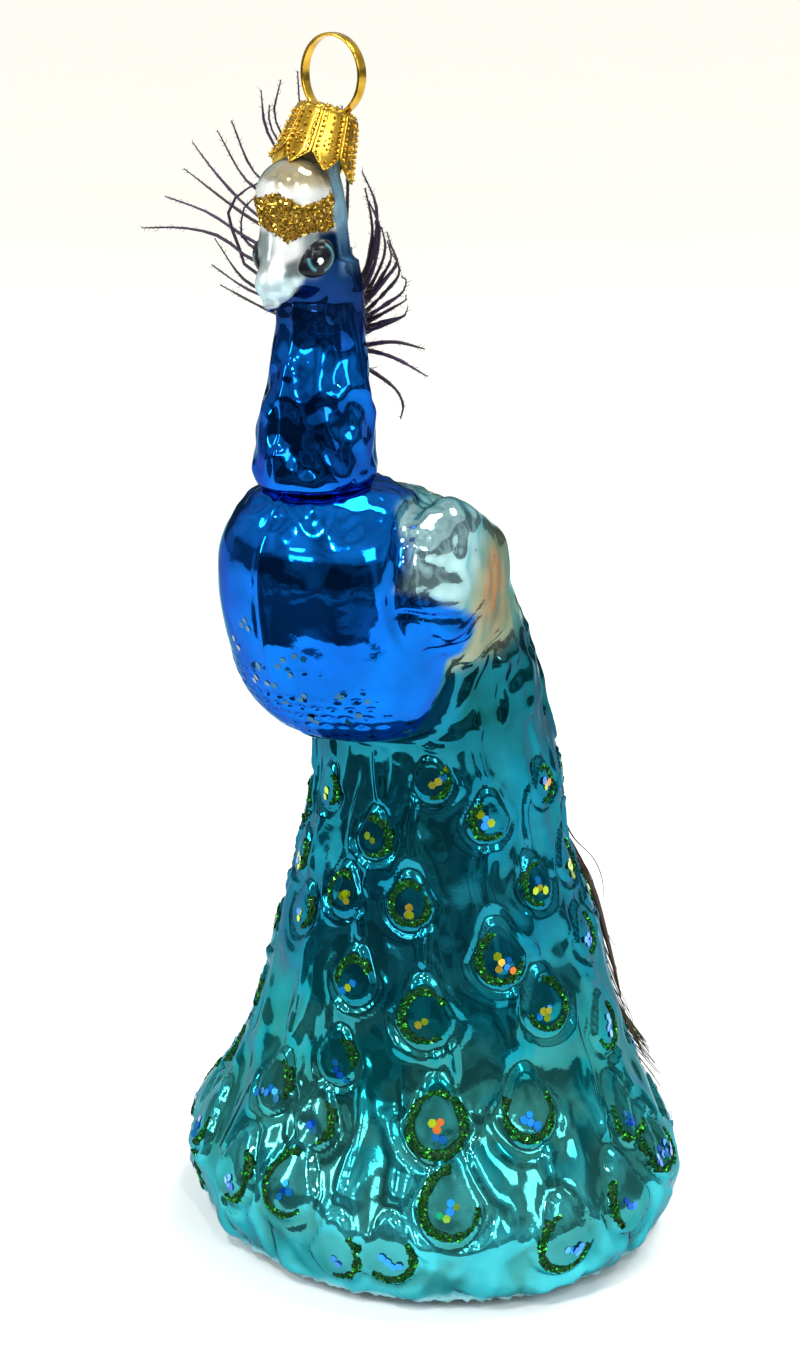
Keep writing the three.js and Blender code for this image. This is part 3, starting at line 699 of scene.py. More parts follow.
class Shape:
    """Rings, patches and dots gathered into one mesh."""

    def __init__(self):
        self.points, self.faces, self.marks, self.count = [], [], {}, 0

    def add(self, points, faces, **marks):
        points = np.asarray(points, float)
        self.points.append(points)
        self.faces += [[i + self.count for i in face] for face in faces]
        for name, value in marks.items():
            self.marks.setdefault(name, []).append(np.asarray(value, float))
        self.count += len(points)

    def dot(self, point, normal, size, **marks):
        self.add([point], [], lay=[normal], scale=[size], **marks)

    def line(self, points, **marks):
        """An open line of edges, for strands."""
        self.add(points, [[i, i + 1] for i in range(len(points) - 1)], **marks)

    def loft(self, rings, **marks):
        """Closed rings joined in order, with a fan over each end."""
        sides = len(rings[0])
        points = np.concatenate([*rings, [np.mean(rings[0], 0), np.mean(rings[-1], 0)]])
        faces = grid_quads(len(rings), sides, around=True)
        last = (len(rings) - 1) * sides
        for side in range(sides):
            after = (side + 1) % sides
            faces.append([len(points) - 2, after, side])
            faces.append([len(points) - 1, last + side, last + after])
        self.add(points, faces, **marks)

    def plate(self, outer, inner, flip=False, **marks):
        """A thin plate from a grid for its outside and one for its inside."""
        rows, across = outer.shape[:2]
        size = rows * across
        quads = grid_quads(rows, across)
        rim = list(range(across)) + [row * across + across - 1 for row in range(1, rows)]
        rim += [(rows - 1) * across + column for column in range(across - 2, -1, -1)]
        rim += [row * across for row in range(rows - 2, 0, -1)]
        if flip:
            rim, *quads = [flipped(loop) for loop in (rim, *quads)]
        faces = [face for quad in quads for face in (quad, [i + size for i in reversed(quad)])]
        faces += [[b, a, a + size, b + size] for a, b in zip(rim, rim[1:] + rim[:1])]
        self.add(np.concatenate([outer.reshape(-1, 3), inner.reshape(-1, 3)]), faces, **marks)

    def build(self, name, material):
        marks = {key: np.concatenate(parts) for key, parts in self.marks.items()}
        return make_piece(name, np.concatenate(self.points), self.faces, material, marks)


def flipped(loop):
    """The same face seen from behind, from the same first point."""
    return [loop[0], *loop[:0:-1]]


def grid_quads(rows, across, around=False):
    """Faces between the points of a grid, row by row; around closes each row."""
    quads = []
    for row in range(rows - 1):
        for column in range(across if around else across - 1):
            a, b = row * across + column, row * across + (column + 1) % across
            quads.append([a, b, b + across, a + across])
    return quads


class Skin:
    """A finished glass surface to lay glitter and sequins on."""

    def __init__(self, piece):
        points = [tuple(v.co / MM) for v in piece.data.vertices]
        self.tree = BVHTree.FromPolygons(points, [list(p.vertices) for p in piece.data.polygons])

    def touch(self, start, direction):
        """Where a line first meets the glass, and its normal there."""
        point, normal, _, _ = self.tree.ray_cast(Vector(start), Vector(direction))
        if point is None:
            point, normal, _, _ = self.tree.find_nearest(Vector(start))
        return np.array(point), np.array(normal)


CLEAR_OF_TRAIN = 8.0


def on_train(skin, bearing, height):
    """The place on the moulded train at a bearing and height, and its normal."""
    start = train_point(np.array(bearing), np.array(float(height)), CLEAR_OF_TRAIN)
    return skin.touch(start, (-math.sin(bearing), math.cos(bearing), 0))


def lay_bead(shape, place_at, path, half_widths):
    """A flat bead of glue along a path, where place_at gives point and normal."""
    path = np.array(path)
    rings = []
    for step, (u, v) in enumerate(path):
        ahead = path[min(step + 1, len(path) - 1)] - path[max(step - 1, 0)]
        ahead = ahead / max(np.linalg.norm(ahead), 1e-6)
        across = np.array([ahead[1], -ahead[0]])
        ring = []
        for part, rise in BEAD_SECTION:
            point, normal = place_at(*((u, v) + across * part * half_widths[step]))
            ring.append(point + normal * STROKE_THICKNESS * rise)
        point, normal = place_at(u, v)
        rings.append(np.array([*ring, point - normal * BEAD_ROOT]))
    bare = np.tile([0.0, 1, 1, 1, 0, 0], len(rings))
    shape.loft(rings, cover=np.concatenate([bare, [0, 0]]))


# ---- node trees

def wire(node, inputs):
    """Sets a node's inputs to plain values, or links other nodes' outputs to them."""
    for name, value in inputs.items():
        if isinstance(value, bpy.types.NodeSocket):
            node.id_data.links.new(value, node.inputs[name])
        else:
            node.inputs[name].default_value = value


def add_node(tree, kind, inputs=None, output=None, **settings):
    """A wired node, or the one of its outputs that is asked for by name."""
    node = tree.nodes.new(kind)
    for name, value in settings.items():
        setattr(node, name, value)
    wire(node, inputs or {})
    return node.outputs[output] if output else node


def open_tree(name, sizes):
    """A geometry tree with named inputs; sizes gives name, kind and value."""
    tree = bpy.data.node_groups.new(name, "GeometryNodeTree")
    interface = tree.interface
    interface.new_socket("Geometry", in_out="INPUT", socket_type="NodeSocketGeometry")
    for label, kind, value in (*sizes, ("Material", "Material", None)):
        socket = interface.new_socket(label, in_out="INPUT", socket_type="NodeSocket" + kind)
        if value is not None:
            socket.default_value = value
    interface.new_socket("Geometry", in_out="OUTPUT", socket_type="NodeSocketGeometry")
    return tree, tree.nodes.new("NodeGroupInput").outputs


def close_tree(tree, geometry, material):
    solid = add_node(tree, "GeometryNodeRealizeInstances", {"Geometry": geometry}, "Geometry")
    finished = add_node(tree, "GeometryNodeSetMaterial", {"Geometry": solid, "Material": material},
                        "Geometry")
    add_node(tree, "NodeGroupOutput", {"Geometry": finished})
    return tree


def named(tree, name, kind="FLOAT"):
    return add_node(tree, "GeometryNodeInputNamedAttribute", {"Name": name}, "Attribute",
                    data_type=kind)


def chance(tree, kind, inputs):
    return add_node(tree, "FunctionNodeRandomValue", inputs, "Value", data_type=kind)


def set_on_points(tree, points, form, lay, tumble, scale):
    """A form on each point, laid by one turn and tumbled by small angles about itself."""
    turn = add_node(tree, "FunctionNodeEulerToRotation", {"Euler": tumble}, "Rotation")
    turn = add_node(tree, "FunctionNodeRotateRotation", {"Rotation": lay, "Rotate By": turn},
                    "Rotation", rotation_space="LOCAL")
    return add_node(tree, "GeometryNodeInstanceOnPoints", {
        "Points": points, "Instance": form, "Rotation": turn, "Scale": scale}, "Instances")


def grow(carrier, tree, name, settings, keep=False):
    """Runs a geometry tree on a carrier and returns the result as a plain mesh."""
    modifier = carrier.modifiers.new(tree.name, "NODES")
    modifier.node_group = tree
    for item in tree.interface.items_tree:
        if item.item_type == "SOCKET" and item.in_out == "INPUT" and item.name in settings:
            modifier[item.identifier] = settings[item.name]
    graph = bpy.context.evaluated_depsgraph_get()
    mesh = bpy.data.meshes.new_from_object(carrier.evaluated_get(graph), depsgraph=graph)
    carrier.modifiers.remove(modifier)
    if not keep:
        bpy.data.objects.remove(carrier)
    return put_in_scene(name, mesh)


def glitter_tree():
    """Six-sided flakes strewn at odd tilts over the top of a bead of glue."""
    tree, given = open_tree("glitter_flakes", [
        ("Flakes per square metre", "Float", 1.4e7),
        ("Flake radius", "Float", 0.00019),
        ("Tilt", "Float", 0.95),
        ("Seed", "Int", 1),
    ])
    top = add_node(tree, "FunctionNodeCompare", {"A": named(tree, "cover"), "B": 0.45}, "Result",
                   data_type="FLOAT", operation="GREATER_THAN")
    strewn = add_node(tree, "GeometryNodeDistributePointsOnFaces", {
        "Mesh": given["Geometry"], "Selection": top,
        "Density": given["Flakes per square metre"], "Seed": given["Seed"]}).outputs
    flake = add_node(tree, "GeometryNodeMeshCircle", {
        "Vertices": 6, "Radius": given["Flake radius"]}, "Mesh", fill_type="NGON")
    reach = add_node(tree, "ShaderNodeCombineXYZ", {
        "X": given["Tilt"], "Y": given["Tilt"], "Z": math.pi}, "Vector")
    back = add_node(tree, "ShaderNodeVectorMath", {0: reach, "Scale": -1}, "Vector",
                    operation="SCALE")
    tilt = chance(tree, "FLOAT_VECTOR", {"Min": back, "Max": reach, "Seed": given["Seed"]})
    size = chance(tree, "FLOAT", {"Min": 0.7, "Max": 1.3})
    flakes = set_on_points(tree, strewn["Points"], flake, strewn["Rotation"], tilt, size)
    # A random number on each flake that picks its tone and its painted glint.
    glint_marked = add_node(tree, "GeometryNodeStoreNamedAttribute", {
        "Geometry": flakes, "Name": "glint_chance", "Value": chance(tree, "FLOAT", {})},
        "Geometry", data_type="FLOAT", domain="INSTANCE")
    return close_tree(tree, glint_marked, given["Material"])


def dots_tree(name, round_dots):
    """Beads or six-sided sequins set on points, each turned to its own normal."""
    tree, given = open_tree(name, [
        ("Radius", "Float", 0.0006),
        ("Thickness", "Float", 0.00006),
    ])
    points = add_node(tree, "GeometryNodeMeshToPoints", {"Mesh": given["Geometry"]}, "Points")
    if round_dots:
        dot = add_node(tree, "GeometryNodeMeshUVSphere", {
            "Segments": 10, "Rings": 6, "Radius": given["Radius"]}, "Mesh")
    else:
        dot = add_node(tree, "GeometryNodeMeshCylinder", {
            "Vertices": 6, "Depth": given["Thickness"], "Radius": given["Radius"]}, "Mesh")
    lay = add_node(tree, "FunctionNodeAlignRotationToVector", {
        "Vector": named(tree, "lay", "FLOAT_VECTOR")}, "Rotation", axis="Z")
    spin = chance(tree, "FLOAT_VECTOR", {"Min": (-0.12, -0.12, 0), "Max": (0.12, 0.12, 1.05)})
    dots = set_on_points(tree, points, dot, lay, spin, named(tree, "scale"))
    return close_tree(tree, dots, given["Material"])


def strand_tree():
    """Lines made into round strands, as thick as the line says at each point."""
    tree, given = open_tree("strands", [("Sides", "Int", 4)])
    curve = add_node(tree, "GeometryNodeMeshToCurve", {"Mesh": given["Geometry"]}, "Curve")
    section = add_node(tree, "GeometryNodeCurvePrimitiveCircle", {
        "Radius": 1.0, "Resolution": given["Sides"]}, "Curve")
    strands = add_node(tree, "GeometryNodeCurveToMesh", {
        "Curve": curve, "Profile Curve": section, "Scale": named(tree, "thick"),
        "Fill Caps": True}, "Mesh")
    return close_tree(tree, strands, given["Material"])


# ---- glitter, sequins

SEQUINS = {
    "blue": [(0.0, 0.13, 0.85), (0.0, 0.28, 0.95), (0.0, 0.2, 0.6), (0.05, 0.4, 0.8)],
    "lime": [(0.42, 0.62, 0.0), (0.28, 0.5, 0.02), (0.6, 0.62, 0.05), (0.0, 0.25, 0.8)],
    "mixed": [(0.42, 0.62, 0.0), (0.85, 0.22, 0.02), (0.7, 0.5, 0.05), (0.0, 0.22, 0.8)],
    "green": [(0.0, 0.6, 0.25), (0.0, 0.2, 0.8), (0.25, 0.55, 0.05)],
}
SEQUIN_RADIUS = 0.64
SEQUIN_GAP = 1.05  # between the middles of neighbours in a group
BIG_EYE = 3  # radius from which an eye holds more sequins
BREAST_SEQUIN = (0.0, 0.11, 0.24)
STROKE_HALF_WIDTH = 0.64  # at an eye of the radius below
STROKE_EYE = 3.4
STROKE_STEP = 14  # degrees
STROKE_SIZE = 0.93  # of the eye's radius
STROKE_THICKNESS = 0.2
# Across a bead of glue: [place from edge to edge, rise], and how deep it is sunk.
BEAD_SECTION = [[-1, -0.1], [-0.6, 0.7], [0, 1], [0.6, 0.7], [1, -0.1]]
BEAD_ROOT = 0.25

# Sequins on the breast: [bearing from the front, height] of each small group.
BREAST_SEQUINS = [
    [-14, 104], [-24, 102], [-20, 100.5], [18, 100.5], [8, 99], [13, 98.5], [-9, 98.3],
    [-13, 95.5], [-2, 94.5], [16, 94], [36, 94.5], [52, 93.5], [46, 91.8], [18, 90], [38, 89.5],
    [2, 92.5],
]


def eye_reach(bearing, height):
    """How far from the axis the smooth train stands at an eye."""
    return float(np.linalg.norm(train_point(np.array(bearing), np.array(float(height)))[:2]))


def glitter_strokes(skin, rng):
    """The glue bead that outlines each eye of the train."""
    shape = Shape()
    for bearing, height, radius, start, end, _ in all_eyes():
        reach = eye_reach(bearing, height)
        steps = max(int(abs(end - start) / STROKE_STEP), 5)
        angles = np.radians(np.linspace(start, end, steps + 1))
        size = radius * STROKE_SIZE
        path = [(size * math.cos(a) * (1 - 0.12 * max(math.sin(a), 0)),
                 size * math.sin(a) * (1.18 if math.sin(a) > 0 else 1.0)) for a in angles]
        place = np.linspace(0, 1, steps + 1)
        swell = 0.45 + 0.75 * np.sin(np.pi * np.clip(place * 0.85 + 0.12, 0, 1))
        wobble = 1 + 0.3 * rng.standard_normal(steps + 1)
        widths = STROKE_HALF_WIDTH * np.sqrt(radius / STROKE_EYE) * swell * wobble
        lay_bead(shape, lambda u, v: on_train(skin, bearing + u / reach, max(height + v, 1.6)),
                 path, np.clip(widths, 0.16, 0.8))
    return shape


def eye_sequins(skin, rng):
    """A few sequins in the heart of each eye, every one touching another."""
    shape = Shape()
    for bearing, height, radius, _, _, palette in all_eyes():
        reach = eye_reach(bearing, height)
        count = int(rng.integers(3, 7)) if radius > BIG_EYE else int(rng.integers(2, 5))
        spots = [(0.0, -0.1 * radius)]
        while len(spots) < count:
            u, v = spots[int(rng.integers(len(spots)))]
            a = rng.uniform(0, FULL_TURN)
            spots.append((u + SEQUIN_GAP * math.cos(a), v + SEQUIN_GAP * math.sin(a)))
        for level, (u, v) in enumerate(spots):
            point, normal = on_train(skin, bearing + u / reach, height + v)
            colour = SEQUINS[palette][int(rng.integers(len(SEQUINS[palette])))]
            shape.dot(point + normal * (0.06 + 0.05 * level), normal, rng.uniform(0.85, 1.1),
                      paint=[colour])
    return shape


def breast_sequins(skin, rng):
    shape = Shape()
    for bearing, height in BREAST_SEQUINS:
        for _ in range(int(rng.integers(1, 4))):
            angle = math.radians(bearing + rng.uniform(-4, 4))
            level = height + rng.uniform(-1.0, 1.0)
            outward = np.array([math.sin(angle), -math.cos(angle), 0])
            start = np.array([0, along(BREAST, level, 1), level]) + outward * 26
            point, normal = skin.touch(start, -outward)
            shape.dot(point + normal * 0.05, normal, 0.8, paint=[BREAST_SEQUIN])
    return shape


# Gold band round the knob: [bearing, top, bottom], from its right to its left.
BAND_EDGES = [
    [-112, 162.2, 158.6], [-75, 161.8, 158.2], [-52, 162.2, 158.4], [-30, 162.3, 158.4],
    [-14, 162.5, 158.0], [11, 163.2, 157.2], [26, 162.7, 156.5], [49, 161.5, 157.3],
    [75, 162.0, 157.7], [106, 162.7, 157.8], [118, 162.4, 158.4],
]
BAND_COLUMNS, BAND_ROWS = 90, 12
BAND_MIDDLE_Y, BAND_CLEARANCE = -32, 12
BAND_RAGGEDNESS = 0.12
BAND_RISE, BAND_EDGE_RISE, BAND_ROOT = 0.1, -0.05, 0.3


def gold_band(skin, rng):
    """A patch of glue round the knob under the gold glitter."""
    outer = np.zeros((BAND_COLUMNS + 1, BAND_ROWS + 1, 3))
    inner = np.zeros_like(outer)
    first, last = BAND_EDGES[0][0], BAND_EDGES[-1][0]
    for column in range(BAND_COLUMNS + 1):
        degrees = first + (last - first) * column / BAND_COLUMNS
        top = along(BAND_EDGES, degrees, 1) + BAND_RAGGEDNESS * rng.standard_normal()
        bottom = along(BAND_EDGES, degrees, 2) + BAND_RAGGEDNESS * rng.standard_normal()
        angle = math.radians(degrees)
        for row in range(BAND_ROWS + 1):
            height = bottom + (top - bottom) * row / BAND_ROWS
            outward = np.array([math.sin(angle), -math.cos(angle), 0])
            start = outward * BAND_CLEARANCE + [0, BAND_MIDDLE_Y, height]
            point, normal = skin.touch(start, -outward)
            on_edge = row in (0, BAND_ROWS) or column in (0, BAND_COLUMNS)
            outer[column, row] = point + normal * (BAND_EDGE_RISE if on_edge else BAND_RISE)
            inner[column, row] = point - normal * BAND_ROOT
    shape = Shape()
    cover = np.repeat([1.0, 0.0], (BAND_COLUMNS + 1) * (BAND_ROWS + 1))
    shape.plate(outer, inner, flip=True, cover=cover)
    return shape


# ---- cap and ring

CAP_FOOT = Vector((0, -28.7, 164.9))
CAP_AXIS = Vector((0.07, 0.36, 0.93)).normalized()
CAP_OUTSIDE = [[0, 5.9], [2, 5.3], [4.4, 4.9], [6.8, 4.5], [8.2, 4.2], [8.9, 3.4]]
CAP_PETALS = 8
CAP_TURN = math.radians(-13)
PETAL_TOP = 8.3
PETAL_POINT = 2.2
PETAL_ROWS, PETAL_COLUMNS = 26, 18
PETAL_THICKNESS = 0.32
BENT_SIDE = math.radians(217)  # where the petals are bent outwards most
BEAD_LIFT = 0.14
LEAF_BEADS = [[3.6, 0.8], [5.4, 1.1], [6.4, 0.8], [7.3, 1.1], [1.2, 1.0]]  # [height, size]
CROWN_RINGS, CROWN_SIDES = 15, 96
# Rings of beads on the crown: [radius, height, number, size].
CROWN_BEADS = [[3.75, 8.55, 20, 1.0], [2.7, 8.95, 13, 0.9], [1.6, 9.1, 8, 0.8]]
RING_CENTRE = Vector((1, -25, 177.6))
RING_RADIUS = 5.55
RING_THICKNESS = 0.5
RING_BAND = 1.5
RING_TURN = math.radians(-6)
RING_STEPS, SECTION_STEPS = 120, 20


def cap_seat():
    turn = Vector((0, 0, 1)).rotation_difference(CAP_AXIS)
    return Matrix.Translation(CAP_FOOT) @ turn.to_matrix().to_4x4()


def cap_place(angle, height, lift):
    """A place near the cap's wall, and the direction away from the axis."""
    radius = along(CAP_OUTSIDE, height, 1) + lift
    seat = cap_seat()
    out = Vector((math.cos(angle), math.sin(angle), 0))
    point = seat @ Vector((out.x * radius, out.y * radius, height))
    slope = seat.to_3x3() @ (out + Vector((0, 0, 0.25))).normalized()
    return np.array(point), np.array(slope)


def petal_half(height):
    """Half the angle that a petal fills at a height, to a point at its foot."""
    full = math.pi / CAP_PETALS * 0.985
    return full * (0.03 + 0.97 * min(max(height, 0) / PETAL_POINT, 1))


def circle(radius, height, sides):
    a = np.arange(sides) * FULL_TURN / sides
    return np.stack([radius * np.cos(a), radius * np.sin(a), height + 0 * a], 1)


def cap_petal(shape, beads, petal):
    """A pressed petal with a raised rim, a groove inside it and rows of beads."""
    middle = (petal + 0.5) * FULL_TURN / CAP_PETALS + CAP_TURN
    bent_towards = Vector((math.cos(BENT_SIDE), math.sin(BENT_SIDE), 0))
    pull = max(0.0, float(Vector(cap_place(middle, 2, 0)[1]).dot(bent_towards)) - 0.75) * 5
    flare = 0.1 + 0.08 * math.sin(petal * 2.3) + 0.9 * pull
    bottom = 0.05 + 0.25 * math.sin(petal * 1.7)

    def spot(u, height, lift):
        bend = flare * max(0, 1 - height / 4.2)**1.6
        return cap_place(middle + u * petal_half(height - bottom), height, lift + bend)

    outer = np.zeros((PETAL_ROWS + 1, PETAL_COLUMNS + 1, 3))
    inner = np.zeros_like(outer)
    for row in range(PETAL_ROWS + 1):
        height = bottom + (PETAL_TOP - bottom) * (row / PETAL_ROWS)**1.15
        for column in range(PETAL_COLUMNS + 1):
            u = 2 * column / PETAL_COLUMNS - 1
            side = 1 - abs(u)
            foot = bell(height - bottom - 0.35, 0.3) if abs(u) < 0.8 else 0
            lift = 0.1 * max(bell(side - 0.12, 0.1), foot) - 0.12 * bell(side - 0.3, 0.08)
            outer[row, column] = spot(u, height, lift)[0]
            inner[row, column] = spot(u, height, -PETAL_THICKNESS)[0]
    shape.plate(outer, inner)
    for side in (-0.74, 0.74):
        for height in np.linspace(0.85, 7.2, 10):
            beads.dot(*spot(side, height, BEAD_LIFT), 0.9 if height < 6 else 0.7)
    for a in np.arange(7) * FULL_TURN / 7:
        beads.dot(*spot(0.3 * math.cos(a), 3.6 + 0.8 * math.sin(a), BEAD_LIFT), 0.72)
    for height, size in LEAF_BEADS:
        beads.dot(*spot(0.0, height, BEAD_LIFT), size)


def gilt_cap():
    """Eight pressed petals round a domed, fluted crown, and the beads on them."""
    shape, beads = Shape(), Shape()
    for petal in range(CAP_PETALS):
        cap_petal(shape, beads, petal)
    rings = []
    for t in np.arange(CROWN_RINGS) / (CROWN_RINGS - 1):
        fluted = 0.14 * smooth(0.25, 0.6, t) * (1 - smooth(0.92, 1, t))
        height = 8.05 + 1.05 * max(math.cos(t * math.pi / 2), 0)**0.8
        ring = circle(4.25 * math.sin(t * math.pi / 2) + 0.02, height, CROWN_SIDES)
        ring[:, 2] += fluted * np.cos(np.arange(CROWN_SIDES) * FULL_TURN / CROWN_SIDES * 16)
        rings.append(ring)
    rings += [circle(radius, 7.6, CROWN_SIDES) for radius in (4.0, 2.0, 0.05)]
    seat = np.array(cap_seat())
    turn, foot = seat[:3, :3], seat[:3, 3]
    shape.loft([ring @ turn.T + foot for ring in reversed(rings)])
    for radius, height, number, size in CROWN_BEADS:
        for local in circle(radius, height, number):
            beads.dot(turn @ local + foot, np.array(CAP_AXIS), size)
    return shape, beads


def flat_ring():
    """A flat gilt band bent round, a little crowned, with soft edges."""
    half, deep = RING_BAND / 2, RING_THICKNESS / 2
    a = np.arange(SECTION_STEPS) * FULL_TURN / SECTION_STEPS
    out = deep * np.sign(np.cos(a)) * np.abs(np.cos(a))**0.5
    aside = half * np.sign(np.sin(a)) * np.abs(np.sin(a))**0.4
    turn = np.array(Matrix.Rotation(RING_TURN, 3, "Z"))
    rings = []
    for a in np.arange(RING_STEPS) * FULL_TURN / RING_STEPS:
        radius = RING_RADIUS - deep + out + 0.03 * math.sin(3 * a + 1)
        ring = np.stack([radius * math.cos(a), aside, radius * math.sin(a)], 1)
        rings.append(ring @ turn.T + np.array(RING_CENTRE))
    points = np.concatenate(rings)
    shape = Shape()
    shape.add(points, [[i % len(points) for i in flipped(quad)]
                       for quad in grid_quads(RING_STEPS + 1, SECTION_STEPS, around=True)])
    return shape


# ---- bird's eyes

EYE_SEAT = np.array([4.4, -33, 154.4])
EYE_FACING = np.array([0.88, -0.45, 0.1])
EYE_LONG, EYE_HIGH, EYE_DEEP = 2.9, 2.4, 1.5
EYE_SLANT = math.radians(50)
EYE_CORNER = math.radians(140)  # towards the beak, from the eye's long axis
EYE_RINGS, EYE_SIDES = 34, 72
EYE_BLACK = np.array([0.004, 0.005, 0.008])
EYE_PALE = np.array([0.06, 0.22, 0.27])
EYE_WHITE = np.array([0.85, 0.9, 0.92])


def painted_eye(side):
    """A drop of paint: a black almond, a pale ring, a pupil and a white glint."""
    facing = EYE_FACING / np.linalg.norm(EYE_FACING)
    level = np.cross([0, 0, 1], facing)
    level /= np.linalg.norm(level)
    up = np.cross(facing, level)
    ring, step = np.divmod(np.arange((EYE_RINGS + 1) * EYE_SIDES), EYE_SIDES)
    t = ring / EYE_RINGS * 1.35
    a = step * FULL_TURN / EYE_SIDES
    bulge = np.sin(np.minimum(t, 1.0) * np.pi / 2)
    out, height = np.sin(t * np.pi / 2), np.cos(t * np.pi / 2)
    x = EYE_LONG * out * np.cos(a) * (1 + 0.17 * np.maximum(np.cos(a - EYE_CORNER), 0)**6 * bulge)
    y = EYE_HIGH * out * np.sin(a) * (1 - 0.1 * bulge * np.cos(a)**2)
    r = np.hypot(x - 0.05, (y + 0.05) * 1.05)
    bearing = np.degrees(np.arctan2(y + 0.05, x - 0.05)) % 360
    drawn = ((bearing > 130) & (bearing < 195)) | (bearing > 235) | (bearing < 15)
    pale = bell(r - 1.84, 0.17) * drawn
    glint = (np.hypot(x + 0.45, y + 0.1) < 0.42) & (t < 1)
    raised = 0.14 * pale + 0.22 * smooth(1.55, 1.2, r) + 0.06 * glint
    paint = EYE_BLACK + (EYE_PALE - EYE_BLACK) * np.minimum(pale * 1.2, 1)[:, None]
    paint[glint] = EYE_WHITE
    across, high = turned(x, y, EYE_SLANT)
    deep = np.where(height > 0, EYE_DEEP * height + raised * np.maximum(height, 0)**0.3,
                    EYE_DEEP * height * 0.8)
    points = EYE_SEAT + np.stack([across, high, deep], 1) @ np.stack([level, up, facing])
    faces = [flipped(quad) for quad in grid_quads(EYE_RINGS + 1, EYE_SIDES, around=True)]
    faces.append([EYE_RINGS * EYE_SIDES + step for step in reversed(range(EYE_SIDES))])
    shape = Shape()
    shape.add(points * [side, 1, 1], faces if side > 0 else [f[::-1] for f in faces], paint=paint)
    return shape


# ---- crest feather

CREST_FOOT = np.array([0.9, -18.2, 130.0])
CREST_TOP = np.array([-1.2, -18.6, 154.0])
CREST_TURN = math.radians(12)
QUILL_STEPS = 14  # along the shaft and along each barb

# Barbs, each as places from root to tip, sideways and height in turn. Those to
# the bird's right come first.
CREST_BARBS = [
    [-0.3, 151, -8, 159, -14.9, 163.6, -18.4, 170.6],
    [-0.4, 150.5, -9, 158.6, -16.2, 162.2, -21, 169.1],
    [-0.5, 149.6, -9, 154.6, -15.5, 158.5, -20.5, 163, -24.4, 167.5],
    [-0.5, 149, -9, 154, -16.6, 157.7, -26.2, 163.7],
    [-0.5, 148, -8, 151.2, -16.2, 154.3, -22.6, 157.6, -29.7, 159.6],
    [-0.5, 146.6, -8, 149, -16, 151.7, -20.2, 154.4, -26, 155.4, -33, 155.1],
    [-1, 146, -9, 148, -16.6, 150.3, -17.9, 154, -19.2, 157.5, -17.7, 160.2, -13.7, 162.4,
     -11.5, 163],
    [-1, 147, -9, 150, -17, 154.1, -17.4, 156.3, -16.6, 159, -14, 160.5],
    [-0.6, 144.6, -9, 146.4, -16.6, 148.3, -21.1, 154.2],
    [-0.6, 143.6, -9, 145.2, -16.6, 147.1, -22.4, 150.4],
    [-0.6, 141.4, -7, 142.8, -13.5, 144.2, -21.6, 147.5],
    [-0.3, 151.6, -7.6, 162.4, -12.6, 169.5, -13.3, 174.9],
    [-0.3, 151.8, -7.4, 163, -12.3, 170, -12.4, 172.9],
    [-0.2, 152, -6.8, 163.6, -11.8, 171.1, -10.8, 176.3],
    [-0.1, 152.4, -4.6, 164, -7.2, 172, -7.6, 177.6],
    [0, 150, -1.5, 153, -0.7, 157.2, -0.4, 163.8, -1.2, 173.1],
    [0, 147.2, 0.7, 147.9, 3.0, 152.4, 3.9, 156.9, 3.6, 160.3, 1.5, 164.4],
    [0, 146.6, 1.0, 147.5, 3.7, 152.1, 4.7, 156.6, 3.9, 159.0, 2.7, 161.1],
    [0, 146, 1.1, 146.8, 4.3, 151.5, 5.3, 154.3, 4.7, 157.0],
    [0, 145.2, 1.3, 146.1, 4.7, 149.7, 6.8, 152.3, 6.0, 154.3, 5.3, 156.3],
    [0, 144.3, 1.4, 145.1, 4.9, 148.1, 7.3, 150.6, 7.4, 152.1, 6.3, 153.9],
    [0, 143.7, 1.5, 144.4, 5.2, 146.7, 7.4, 148.2, 8.1, 149.9, 7.4, 150.4],
    [0, 143.1, 1.6, 143.8, 5.9, 146.1, 7.7, 147.2, 7.6, 147.8],
    [0, 142.4, 1.5, 143.1, 5.3, 144.3, 7.7, 145.1, 8.4, 146.4],
    [0, 141.7, 1.6, 142.5, 4.2, 143.5, 6.7, 144.5],
    [0, 147.7, 0.6, 148.4, 2.4, 152.1, 3.2, 155.8, 2.9, 158.6, 2.0, 162.1],
    [0, 146.9, 0.9, 147.6, 3.4, 151.3, 4.4, 155.2, 4.1, 157.9],
    [0, 145.6, 1.2, 146.4, 4.5, 150.3, 6.1, 152.9, 5.6, 155.2],
    [0, 140, 0.6, 140.4, 5.5, 141.2, 9.9, 140.5],
    [0, 139.4, 1.1, 139.8, 5.5, 139.1, 10.6, 136.9],
    [0, 137.6, 1.4, 137.1, 5.1, 134.7, 6.1, 132.5, 5.5, 130.5],
]
BARB_ROOT_RADIUS = 0.34
BARB_TIP_RADIUS = 0.09
BARBULE_RADII = np.array([0.05, 0.035, 0.015])
LOOSE_PART = 0.16  # of a barb at its root, with long pale fluff
PATCH = 0.003
PLUME_DARK, PLUME_VIOLET, PLUME_FLUFF = np.array([
    [0.012, 0.006, 0.014], [0.03, 0.008, 0.05], [0.3, 0.24, 0.19]])


def crest_place(sideways, height, aside=0.0):
    rise = np.clip((height - CREST_FOOT[2]) / (CREST_TOP[2] - CREST_FOOT[2]), 0, 1)
    shaft = CREST_FOOT + (CREST_TOP - CREST_FOOT) * rise
    x, y = turned(sideways, aside, CREST_TURN)
    return np.array([shaft[0] + x, shaft[1] + y, height])


